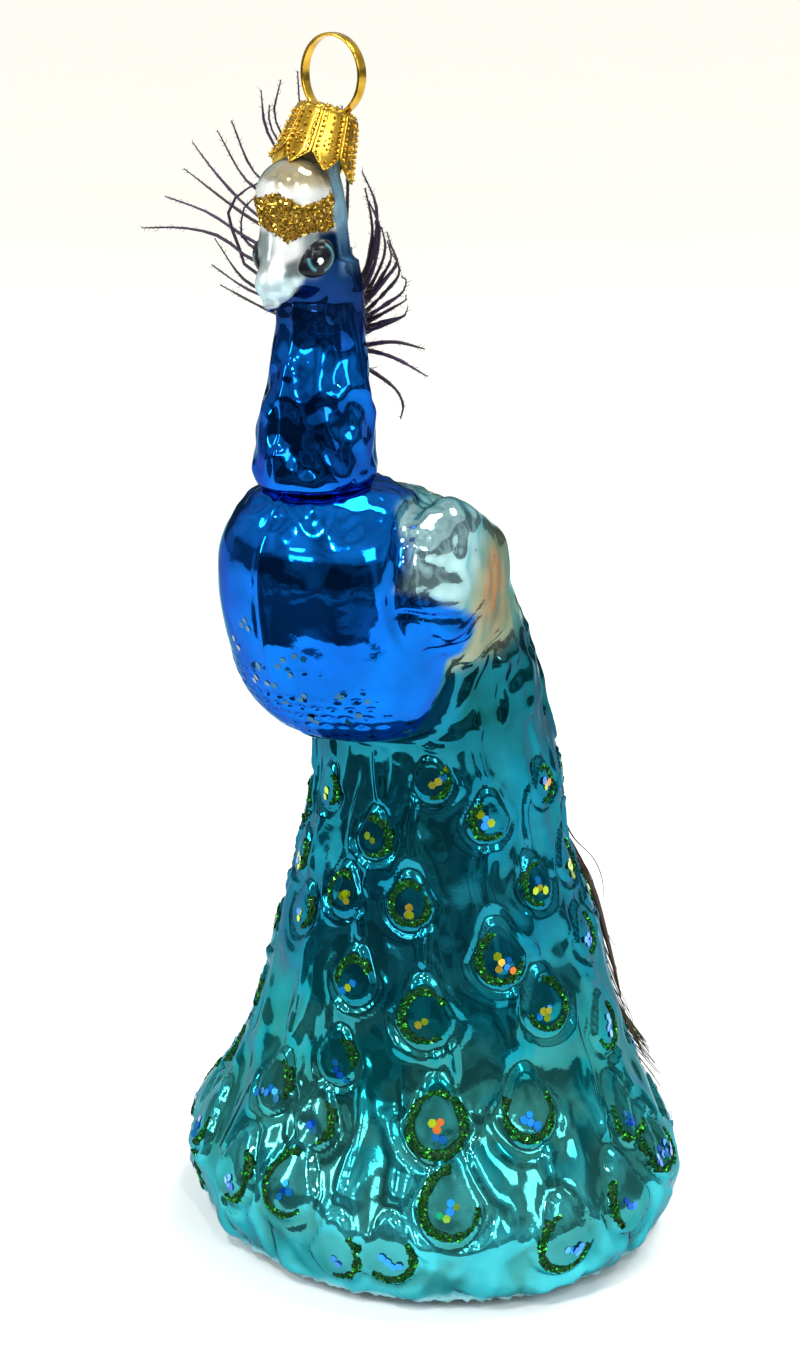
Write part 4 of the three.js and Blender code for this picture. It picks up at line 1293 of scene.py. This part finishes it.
def smooth_path(points, steps):
    """Points evenly spaced along a smooth line through the given ones."""
    points = np.array(points, float)
    reach = np.concatenate([[0], np.cumsum(np.linalg.norm(np.diff(points, axis=0), axis=1))])
    table = [[r, *p] for r, p in zip(reach, points)]
    place = np.linspace(0, reach[-1], steps + 1)
    return np.stack([along(table, place, column + 1) for column in range(points.shape[1])], 1)


def patch_marks(across, up, count):
    """A small place of its own on the feather's unwrap for one strand."""
    u = (across + 40) / 80 * 0.95 + PATCH * np.linspace(0, 1, count)
    v = np.full(count, (up % 100) / 100 * 0.95 + 0.02)
    return np.stack([u, v, np.zeros(count)], axis=1)


def crest_strands(rng):
    """Barbs, their short barbules and the pale fluff at their roots."""
    shape = Shape()
    shaft = [crest_place(0, h) for h in np.linspace(CREST_FOOT[2], CREST_TOP[2], QUILL_STEPS)]
    shape.line(shaft, thick=np.linspace(0.5, 0.24, QUILL_STEPS) * MM,
               paint=np.linspace(PLUME_FLUFF, PLUME_DARK, QUILL_STEPS),
               patch=patch_marks(0, 130, QUILL_STEPS))
    t = np.linspace(0, 1, QUILL_STEPS + 1)
    for number, barb in enumerate(CREST_BARBS):
        root = barb[:2]
        sway = 0.7 * math.sin(number * 2.1)
        flat = smooth_path(np.reshape(barb, (-1, 2)), QUILL_STEPS)
        line = np.array([crest_place(s, h, sway * f) for (s, h), f in zip(flat, t)])
        thick = BARB_ROOT_RADIUS + (BARB_TIP_RADIUS - BARB_ROOT_RADIUS) * t**1.9
        thick = thick * (1 + 0.12 * rng.standard_normal(QUILL_STEPS + 1))
        paint = PLUME_DARK + (PLUME_VIOLET - PLUME_DARK) * (0.5 + 0.5 * math.sin(number * 3.7))
        paint = paint + (PLUME_FLUFF - paint) * np.clip(1 - t * 5, 0, 1)[:, None] * 0.8
        shape.line(line, thick=np.clip(thick, 0.04, 0.4) * MM, paint=paint,
                   patch=patch_marks(*root, QUILL_STEPS + 1))
        length = np.linalg.norm(np.diff(line, axis=0), axis=1).sum()
        hairs = int(length / (0.26 if barb[-2] > 0 else 0.36))
        fine = smooth_path(line, hairs)
        for i in range(1, hairs):
            ahead = fine[i + 1] - fine[i]
            ahead = ahead / np.linalg.norm(ahead)
            side = np.cross(ahead, [math.sin(CREST_TURN), -math.cos(CREST_TURN), 0])
            side = side * (1 if i % 2 else -1) + 0.35 * rng.standard_normal(3)
            loose = i / hairs < LOOSE_PART
            hair = rng.uniform(1.0, 2.2) if loose else rng.uniform(0.3, 0.75)
            tip = fine[i] + (0.8 * ahead + 0.6 * side) * hair
            middle = (fine[i] + tip) / 2 + 0.12 * hair * rng.standard_normal(3)
            shape.line([fine[i], middle, tip], thick=BARBULE_RADII * MM,
                       paint=[PLUME_FLUFF if loose else PLUME_DARK] * 3,
                       patch=patch_marks(*root, 3))
    return shape


def unwrap_strands(piece):
    """Writes the strands' places into an unwrap of their own."""
    mesh = piece.data
    patch, place = np.zeros((2, len(mesh.vertices) * 3))
    mesh.attributes["patch"].data.foreach_get("vector", patch)
    mesh.vertices.foreach_get("co", place)
    corner = np.zeros(len(mesh.loops), dtype=int)
    mesh.loops.foreach_get("vertex_index", corner)
    uv = patch.reshape(-1, 3)[corner, :2]
    uv[:, 1] += PATCH * np.mod(place.reshape(-1, 3)[corner].sum(axis=1) * 900, 1.0)
    layer = mesh.uv_layers.new(name="OFBake")
    layer.data.foreach_set("uv", uv.astype(np.float32).ravel())


# ---- tail feather

TAIL_TOP, TAIL_TIP = 64, 8
TAIL_STAND_OFF = 1.4
TAIL_HUG = 0.5
TAIL_TURN = math.radians(-12)
TAIL_HALF_WIDTHS = [
    [8, 5], [11, 12.5], [17, 18], [26, 17], [38, 14.5], [52, 13], [60, 9], [64, 1]]
TAIL_EYE_HEIGHT = 24
TAIL_SHAFT_END = 15
TAIL_SPACING = 0.62
TAIL_DROOP = 0.012
# Rings of colour round the eye's dark heart: [where it starts, colour].
TAIL_HEART = (0.02, 0.012, 0.12)
TAIL_RINGS = [
    [3.6, (0.0, 0.19, 0.30)], [5.6, (0.23, 0.10, 0.02)], [8.6, (0.16, 0.2, 0.02)],
    [9.6, (0.05, 0.13, 0.03)], [11, (0.12, 0.085, 0.025)], [14.5, (0.045, 0.05, 0.02)]]
TAIL_BRONZE = (0.07, 0.035, 0.02)
TAIL_LOOSE = (0.035, 0.015, 0.008)
TAIL_SHAFT = (0.42, 0.30, 0.17)
# Loose barbs at the side: width, then sideways, height and lift in turn from the
# root down.
LOOSE_BARBS = [
    (0.32, [1, 63.5, 0.4, 6, 64.5, -0.6, 12, 61.4, -2, 13, 56.9, 0.6, 14, 53.6, 0.6, 15, 50,
     -0.8]),
    (0.27, [1, 62.5, 0.4, 6, 62.5, -0.8, 12, 58.6, -2, 13.5, 54.5, -1.2, 15, 51.2, -2]),
    (1.2, [1, 61.5, 0.4, 6, 60.5, -0.8, 12, 56.1, -1.8, 12.75, 51.5, -1.3, 13.5, 44.9, -1,
     14.3, 38.7, -0.8, 15, 32.7, -0.9]),
    (1.0, [1, 60.5, 0.4, 6, 58.6, -0.8, 12, 54, -1.6, 13, 48, -1.3, 14, 42, -1.1, 14.6, 37,
     -1.1]),
    (0.3, [1, 58, 0.4, 6, 55, -0.8, 12, 49.8, -1.5, 13.5, 42.6, 0, 15, 39.8, 1.4]),
    (0.27, [1, 44, 0.4, 6, 39, -0.4, 12, 32.7, 0, 13.5, 27.9, 1.2, 15, 26.4, 0]),
]


def tail_place(sideways, height, lift):
    height = np.asarray(height, float)
    level = np.sqrt(np.clip(1 - (sideways / along(COLUMN, height, 2))**2, 0, 1))
    centre, rear = along(COLUMN, height, 1), along(COLUMN, height, 4)
    depth = centre + rear + TAIL_HUG * rear * (level - 1) + TAIL_STAND_OFF + lift
    return np.stack([*turned(sideways, depth, TAIL_TURN), height + 0 * depth], -1)


def tail_colour(sideways, height):
    """The eye of a tail feather, from the dark heart outwards to loose bronze."""
    v = height - TAIL_EYE_HEIGHT
    r = np.hypot(sideways, v * 0.86) + 0.9 * bell(sideways, 1.6) * (v < 0)
    colour = np.tile(TAIL_HEART, (len(r), 1))
    for start, tint in TAIL_RINGS:
        share = smooth(start - 0.35, start + 0.35, r)[:, None]
        colour = colour + (np.array(tint) - colour) * share
    return colour + (np.array(TAIL_BRONZE) - colour) * smooth(30, 46, height)[:, None]


def add_barb(shape, rings, tints, root, steps=(0, 0.5, 1, 0.5)):
    """A closed strip with a tint for each ring and its own place in the unwrap."""
    marks = np.repeat(patch_marks(*root, len(rings)), len(steps), axis=0)
    marks[:, 1] += np.tile(steps, len(rings)) * PATCH
    tints = np.repeat(tints, len(steps), axis=0)
    shape.loft(rings, paint=np.concatenate([tints, tints[:1], tints[-1:]]),
               patch=np.concatenate([marks, marks[:1], marks[-1:]]))


def flat_barb(shape, rng, row, root, side):
    """One barb from the shaft outwards and down, as long as the feather is wide there."""
    slant = 0.35 + 0.5 * float(smooth(30, 16, root)) + 0.9 * float(smooth(32, 50, root))
    reach = 0
    for trial in np.linspace(2, 24, 60):
        drop = root - slant * trial - TAIL_DROOP * trial**2
        if drop < TAIL_TIP or trial > along(TAIL_HALF_WIDTHS, max(drop, TAIL_TIP), 1):
            break
        reach = trial
    reach *= rng.uniform(0.9, 1.0)
    if reach < 1:
        return
    t = np.linspace(0, 1, 13)
    out = reach * t
    level = root - slant * out - TAIL_DROOP * out**2 + 0.25 * np.sin(t * 5 + row * 1.3) * t
    lift = 0.25 + 0.18 * ((row + (side > 0)) % 3) * t + 0.12 * np.sin(t * 3 + row)
    lift = lift + t**2 * (rng.uniform(0, 1) - 1.6 * float(smooth(32, 46, root)))
    wide = 0.4 * (1 - 0.8 * t**3) * (1 - 0.55 * float(smooth(32, 50, root)) * t)
    rings = np.stack([tail_place(side * out, level + across * wide, lift + rise)
                      for across, rise in ((-1, 0), (0, 0.07), (1, 0), (0, -0.07))], 1)
    tints = tail_colour(side * out, level) * rng.uniform(0.75, 1.25)
    add_barb(shape, list(rings if side > 0 else rings[:, ::-1]), tints, (side * 2.0, root))


def tail_strips(rng):
    """Flat barbs from the shaft outwards, loose ones at the side and the pale shaft."""
    shape = Shape()
    for row, root in enumerate(np.arange(TAIL_SHAFT_END, TAIL_TOP - 3, TAIL_SPACING)):
        for side in (-1, 1):
            flat_barb(shape, rng, row, root, side)
    for wide, path in LOOSE_BARBS:
        x, level, lift = smooth_path(np.reshape(path, (-1, 3)), 30).T
        t = np.linspace(0, 1, len(x))
        size = wide * (0.25 + 0.75 * np.minimum(t * 5, 1)) * (1 - 0.85 * t**2)
        rings = np.stack([tail_place(x + across * size, level, lift + rise * size) for across, rise
                          in ((-0.5, -0.5), (0.5, -0.5), (0.5, 0.5), (-0.5, 0.5))], 1)
        add_barb(shape, list(rings), np.tile(TAIL_LOOSE, (len(rings), 1)), path[:2])
    rings = []
    for level in np.linspace(TAIL_SHAFT_END - 1.5, TAIL_TOP, 40):
        thick = 0.16 + 0.5 * (level - TAIL_SHAFT_END + 1.5) / 50
        rings.append(np.array([tail_place(x, level, 0.45 + y) for x, y, _ in circle(thick, 0, 8)]))
    add_barb(shape, rings, np.tile(TAIL_SHAFT, (len(rings), 1)), (30, 20), np.arange(8) / 8)
    return shape


# ---- materials

PITS_PER_METRE = 1000 / 1.4
PIT_DEPTH, GRAIN_DEPTH, GILT_DEPTH = 0.00004, 0.00002, 0.00003
GILT_BROWN, GILT_BRIGHT = (0.42, 0.245, 0.022), (0.76, 0.49, 0.066)


def new_material(name):
    material = bpy.data.materials.new(name)
    material.use_nodes = True
    tree = material.node_tree
    tree.nodes.clear()
    shader = add_node(tree, "ShaderNodeBsdfPrincipled")
    add_node(tree, "ShaderNodeOutputMaterial", {"Surface": shader.outputs["BSDF"]})
    return material, tree, shader


def on_object(tree):
    return add_node(tree, "ShaderNodeTexCoord", None, "Object")


def marked(tree, name):
    """The values marked on the mesh under a name, as an Attribute node's outputs."""
    return add_node(tree, "ShaderNodeAttribute", attribute_name=name).outputs


def speckle(tree, scale, detail):
    """Cloudy noise with about this many spots to a metre."""
    return add_node(tree, "ShaderNodeTexNoise", {
        "Scale": scale, "Detail": detail, "Vector": on_object(tree)}, "Fac")


def spread(tree, value, low, high, start=0.0, end=1.0, **settings):
    """A value from start to end stretched to run from low to high."""
    return add_node(tree, "ShaderNodeMapRange", {
        "Value": value, "From Min": start, "From Max": end, "To Min": low, "To Max": high},
        "Result", **settings)


def ramp(tree, value, start, dark, end, bright):
    node = add_node(tree, "ShaderNodeValToRGB", {"Fac": value})
    for stop, place, colour in zip(node.color_ramp.elements, (start, end), (dark, bright)):
        stop.position, stop.color = place, (*colour, 1)
    return node.outputs["Color"]


def mix(tree, factor, a, b, kind="MIX"):
    return add_node(tree, "ShaderNodeMix", {"Factor": factor, "A": a, "B": b}, "Result",
                    data_type="RGBA", blend_type=kind)


def bump(tree, height, strength, distance):
    return add_node(tree, "ShaderNodeBump", {
        "Height": height, "Strength": strength, "Distance": distance}, "Normal")


def lacquered_glass(name, roughness):
    """Silvered glass seen through coloured lacquer, under a hard clear gloss."""
    material, tree, shader = new_material(name)
    paint = marked(tree, "paint")
    wash = spread(tree, speckle(tree, 140, 4), 0.72, 1.12, 0.3, 0.7)
    wire(shader, {
        "Base Color": mix(tree, 1.0, paint["Color"], wash, "MULTIPLY"),
        "Normal": bump(tree, speckle(tree, PITS_PER_METRE, 2), 0.6, PIT_DEPTH),
        "Metallic": paint["Alpha"],
        "Roughness": spread(tree, paint["Alpha"], 0.3, roughness, 0.5, 0.74),
        "Specular IOR Level": 0.3,
        "Specular Tint": (0.03, 0.35, 0.42, 1),
        "Coat Weight": 0.08,
        "Coat Roughness": 0.03,
        "Coat IOR": 1.5,
    })
    return material


def flake_metal(name, dark, bright, share, roughness=0.24):
    """Cut foil: each flake has its own chance between a dark and a bright colour; the bright flakes
    are painted glints.
    """
    material, tree, shader = new_material(name)
    wire(shader, {
        "Base Color": ramp(tree, marked(tree, "glint_chance")["Fac"], share, dark, 1.0, bright),
        "Metallic": 0.95,
        "Specular Tint": (*bright, 1),
        "Roughness": roughness,
    })
    return material


def glue_base(name, colour):
    """Set glue, darker in its grain."""
    material, tree, shader = new_material(name)
    dark = [c * 0.5 for c in colour]
    wire(shader, {
        "Base Color": mix(tree, speckle(tree, 2500, 3), (*dark, 1), (*colour, 1)),
        "Roughness": 0.4,
        "Specular IOR Level": 0.15,
    })
    return material


def painted(name, metallic, roughness, coat=0.0, grain=900, gloss=0.5):
    """A finish that takes its colour from the paint on the mesh."""
    material, tree, shader = new_material(name)
    speck = speckle(tree, grain, 3)
    vary = spread(tree, speck, 0.75, 1.25)
    wire(shader, {
        "Base Color": mix(tree, 1.0, marked(tree, "paint")["Color"], vary, "MULTIPLY"),
        "Normal": bump(tree, speck, 0.5, GRAIN_DEPTH),
        "Metallic": metallic,
        "Roughness": roughness,
        "Coat Weight": coat,
        "Coat Roughness": 0.03,
        "Specular IOR Level": gloss,
    })
    return material


def gilt(name, roughness):
    """Thin stamped brass with a bright gilt skin, browner in random patches."""
    material, tree, shader = new_material(name)
    wire(shader, {
        "Base Color": ramp(tree, speckle(tree, 420, 4), 0.3, GILT_BROWN, 0.7, GILT_BRIGHT),
        "Normal": bump(tree, speckle(tree, 2600, 2), 0.4, GILT_DEPTH),
        "Metallic": 1.0,
        "Roughness": roughness,
    })
    return material


# ---- studio

CAMERA_AZIMUTH = 37  # degrees round to the bird's left
CAMERA_PITCH = 16.4  # degrees down
CAMERA_DISTANCE = 370
CAMERA_HEIGHT = 197
CAMERA_ASIDE = -5.3
FIELD_HEIGHT = 1350 / 2555  # of the picture, for a distance of 1
SENSOR_HEIGHT = 24

TABLE_REACH = 20000
WHITE_TO, CREAM_FROM = 0.17, 0.5  # metres from the ornament
WHITE_PAPER, CREAM_PAPER = (0.92, 0.92, 0.92, 1), (0.905, 0.895, 0.83, 1)
ROOM_REACH, ROOM_MIDDLE = 1700, 100
ROOM_COLUMNS, ROOM_ROWS = 36, 18
ROOM_LOW = -3.3  # degrees, a little below the table
PAPER_REACH, PAPER_HEIGHT = 8000, 4000
TABLE_EDGE_TURNS, TABLE_EDGE_NEAR, TABLE_EDGE_FAR = (-48, 72), 170, 1750
SKY_COLOUR, SKY_STRENGTH = (1.0, 0.995, 0.98, 1), 0.55
SUN_AIM, SUN_STRENGTH, SUN_SPREAD = (-0.25, -0.35, -1), 2.1, math.radians(28)
LAMP_AIM = (0, 0, 0.1)
# Lamps: name, bearing, distance, height, size, power.
LAMPS = [
    ("lamp", 12, 0.65, 0.98, (0.055, 0.03), 4),
    ("bulb", -8, 0.8, 0.72, (0.034, 0.025), 1.8),
    ("far_bulb", 48, 0.8, 0.85, (0.03, 0.04), 2),
    ("ceiling_panel", 4, 1.3, 0.86, (0.2, 0.1), 1.2),
    ("low_bulb", 10, 0.9, 0.36, (0.28, 0.08), 0.5),
    ("window", 72, 0.8, 0.56, (0.24, 0.3), 1.6),
    ("side_lamp", -42, 0.8, 0.4, (0.1, 0.3), 1.6),
]


def make_camera():
    a, p = math.radians(CAMERA_AZIMUTH), math.radians(CAMERA_PITCH)
    right = Vector((math.cos(a), math.sin(a), 0))
    back = Vector((math.sin(a) * math.cos(p), -math.cos(a) * math.cos(p), math.sin(p)))
    place = Vector(round_about(CAMERA_AZIMUTH, CAMERA_DISTANCE, CAMERA_HEIGHT))
    place += right * CAMERA_ASIDE
    data = bpy.data.cameras.new("camera")
    data.sensor_fit = "VERTICAL"
    data.sensor_height = SENSOR_HEIGHT
    data.lens = SENSOR_HEIGHT / FIELD_HEIGHT
    data.clip_start = 0.01
    data.clip_end = 20
    camera = put_in_scene("camera", data)
    turn = Matrix((right, back.cross(right), back)).transposed().to_4x4()
    camera.matrix_world = Matrix.Translation(place * MM) @ turn
    bpy.context.scene.camera = camera


def area_light(name, place, size, power):
    data = bpy.data.lights.new(name, "AREA")
    data.shape = "RECTANGLE"
    data.size, data.size_y = size
    data.energy = power
    light = put_in_scene(name, data)
    light.location = place
    light.rotation_euler = (Vector(LAMP_AIM) - Vector(place)).to_track_quat("-Z", "Y").to_euler()


def round_about(azimuth, distance, height):
    a = math.radians(azimuth)
    return (math.sin(a) * distance, -math.cos(a) * distance, height)


def stage_sheet(name, points, faces, material, unseen):
    """A sheet of the studio, hidden from the rays that unseen names."""
    sheet = make_piece(name, points, faces, material, {})
    for ray in unseen:
        setattr(sheet, "visible_" + ray, False)


def room_sheet(name, start, end, high, walls_pair, ceiling_pair):
    """A curved sheet of room far away that only the glass shows.

    Each pair is the grey of its dark and of its bright patches.
    """
    points = []
    for row in range(ROOM_ROWS + 1):
        rise = math.radians(ROOM_LOW + (high - ROOM_LOW) * row / ROOM_ROWS)
        for column in range(ROOM_COLUMNS + 1):
            bearing = start + (end - start) * column / ROOM_COLUMNS
            level = ROOM_MIDDLE + ROOM_REACH * math.sin(rise)
            points.append(round_about(bearing, ROOM_REACH * math.cos(rise), level))
    material, tree, shader = new_material(name)
    patches = speckle(tree, 1.5, 1)
    walls = ramp(tree, patches, 0.5, [walls_pair[0]] * 3, 0.62, [walls_pair[1]] * 3)
    ceiling = ramp(tree, patches, 0.3, [ceiling_pair[0]] * 3, 0.66, [ceiling_pair[1]] * 3)
    level = add_node(tree, "ShaderNodeSeparateXYZ", {"Vector": on_object(tree)}, "Z")
    rise = spread(tree, level, 0.0, 1.0, 0.43, 0.58)
    wire(shader, {"Base Color": mix(tree, rise, walls, ceiling), "Roughness": 0.9})
    stage_sheet(name, points, grid_quads(ROOM_ROWS + 1, ROOM_COLUMNS + 1), material,
                ("camera", "shadow", "diffuse"))


def table_edge():
    """Where the white table ends in front and the glass shows the dim floor."""
    turns = np.linspace(*TABLE_EDGE_TURNS, 23)
    points = [round_about(turn, reach, 0.4)
              for reach in (TABLE_EDGE_NEAR, TABLE_EDGE_FAR) for turn in turns]
    material, tree, shader = new_material("dim_floor")
    boards = ramp(tree, speckle(tree, 5, 1), 0.5, (0.015, 0.018, 0.022), 0.66, (0.22, 0.22, 0.22))
    wire(shader, {"Base Color": boards, "Roughness": 0.9})
    stage_sheet("table_edge", points, [flipped(quad) for quad in grid_quads(2, len(turns))],
                material, ("camera", "shadow", "diffuse"))


def paper_backdrop():
    """Pale paper all round, far off, behind the table in low views."""
    turns = np.linspace(0, FULL_TURN, 61)[:-1]
    points = [[PAPER_REACH * math.sin(a), PAPER_REACH * math.cos(a), height]
              for height in (-10, PAPER_HEIGHT) for a in turns]
    material, tree, shader = new_material("backdrop_paper")
    wire(shader, {
        "Base Color": spread(tree, speckle(tree, 0.4, 1), 0.86, 0.92),
        "Roughness": 1.0,
        "Specular IOR Level": 0.0,
        "Emission Color": (1.0, 0.97, 0.88, 1),
        "Emission Strength": 0.3,
    })
    stage_sheet("paper_backdrop", points, grid_quads(2, len(turns), around=True), material,
                ("glossy", "shadow", "diffuse"))


def pale_table():
    """White paper under the ornament that turns cream further away."""
    material, tree, shader = new_material("pale_table")
    away = add_node(tree, "ShaderNodeVectorMath", {0: on_object(tree)}, "Value",
                    operation="LENGTH")
    far = spread(tree, away, 0.0, 1.0, WHITE_TO, CREAM_FROM,
                 interpolation_type="SMOOTHSTEP")
    cream = mix(tree, far, WHITE_PAPER, CREAM_PAPER)
    grain = spread(tree, speckle(tree, 9, 2), 0.97, 1.0)
    wire(shader, {
        "Base Color": mix(tree, 1.0, cream, grain, "MULTIPLY"),
        "Roughness": 0.6,
        "Specular IOR Level": 0.12,
    })
    reach = TABLE_REACH
    corners = [(-reach, -reach, 0), (reach, -reach, 0), (reach, reach, 0), (-reach, reach, 0)]
    make_piece("table_top", corners, [[0, 1, 2, 3]], material, {}, smooth_shading=False)


def make_studio():
    scene = bpy.context.scene
    scene.view_settings.view_transform = "Standard"
    world = bpy.data.worlds.new("studio")
    world.use_nodes = True
    wire(world.node_tree.nodes["Background"], {"Color": SKY_COLOUR, "Strength": SKY_STRENGTH})
    scene.world = world
    pale_table()
    room_sheet("dim_room", -48, 72, 78, (0.02, 0.2), (0.22, 0.85))
    room_sheet("side_room", 72, 310, 55, (0.12, 0.42), (0.4, 0.75))
    table_edge()
    paper_backdrop()
    sky = bpy.data.lights.new("overhead", "SUN")
    sky.energy = SUN_STRENGTH
    sky.angle = SUN_SPREAD
    overhead = put_in_scene("overhead", sky)
    overhead.rotation_euler = Vector(SUN_AIM).to_track_quat("-Z", "Y").to_euler()
    for name, bearing, distance, height, size, power in LAMPS:
        area_light(name, round_about(bearing, distance, height), size, power)


# ---- make

make_camera()
make_studio()


def settle_in(piece, slot, *nodes):
    """Hangs a finished piece on the ornament and hides the parts that it takes the place of. The
    slot is not used.
    """
    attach(piece, "root")
    if nodes:
        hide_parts(*nodes)


glass_body = make_glass_body(lacquered_glass("lacquered_glass", 0.075))
settle_in(glass_body, "train_glass", "train", "back", "breast", "wing_left", "wing_right")
glass_bust = make_glass_bust(lacquered_glass("lacquered_glass_bust", 0.05))
settle_in(glass_bust, "cobalt_glass", "neck", "head", "beak", "stem")
body_skin, bust_skin = Skin(glass_body), Skin(glass_bust)

flakes, beads, strands = glitter_tree(), dots_tree("cap_beads", True), strand_tree()
sequins = dots_tree("sequins", False)

strokes = glitter_strokes(body_skin, np.random.default_rng(5)).build(
    "glitter_glue", glue_base("green_glue", (0.003, 0.045, 0.012)))
green_flakes = grow(strokes, flakes, "green_glitter", {
    "Material": flake_metal("green_foil", (0.0, 0.085, 0.012), (0.06, 0.5, 0.05), 0.68),
    "Flakes per square metre": 1.5e7, "Seed": 3}, keep=True)
settle_in(strokes, "train_glass")
settle_in(green_flakes, "train_glass")

band = gold_band(bust_skin, np.random.default_rng(6)).build(
    "gold_glue", glue_base("gold_glue", (0.30, 0.17, 0.02)))
gold_flakes = grow(band, flakes, "gold_glitter", {
    "Material": flake_metal("gold_foil", (0.3, 0.17, 0.008), (0.9, 0.66, 0.16), 0.6, 0.2),
    "Flakes per square metre": 1.7e7, "Flake radius": 0.00021, "Tilt": 0.9, "Seed": 4}, keep=True)
settle_in(band, "pearl_glass")
settle_in(gold_flakes, "pearl_glass")

foil = painted("sequin_foil", 0.85, 0.22, 0.6)
foil_sizes = {"Material": foil, "Radius": SEQUIN_RADIUS * MM}
train_dots = grow(eye_sequins(body_skin, np.random.default_rng(7)).build("dots", foil),
                  sequins, "train_sequins", foil_sizes)
settle_in(train_dots, "train_glass")
breast_dots = grow(breast_sequins(body_skin, np.random.default_rng(8)).build("dots", foil),
                   sequins, "breast_sequins", foil_sizes)
settle_in(breast_dots, "cobalt_glass")

gilt_skin = gilt("stamped_gilt", 0.2)
cap_shape, bead_shape = gilt_cap()
cap = cap_shape.build("stamped_cap", gilt_skin)
cap_beads = grow(bead_shape.build("dots", gilt_skin), beads, "cap_beading",
                 {"Material": gilt("gilt_beads", 0.25), "Radius": 0.26 * MM})
settle_in(cap, "gilt_metal", "cap")
settle_in(cap_beads, "gilt_metal")
ring = flat_ring().build("flat_ring", gilt("rolled_gilt", 0.18))
settle_in(ring, "gilt_metal", "hanger_ring")

eye_paint = painted("enamel", 0.0, 0.25, gloss=0.2)
for side, label in ((1, "left"), (-1, "right")):
    eye = painted_eye(side).build("painted_eye_" + label, eye_paint)
    settle_in(eye, "eye_paint", "eye_" + label)

plume = painted("plume", 0.0, 0.55, grain=1400)
crest = grow(crest_strands(np.random.default_rng(9)).build("lines", plume), strands,
             "crest_plume", {"Material": plume, "Sides": 4})
unwrap_strands(crest)
settle_in(crest, "crest_feather", "crest_feather")
tail = tail_strips(np.random.default_rng(10)).build(
    "tail_plume", painted("bronze_plume", 0.35, 0.4))
unwrap_strands(tail)
settle_in(tail, "tail_feather", "tail_feather")
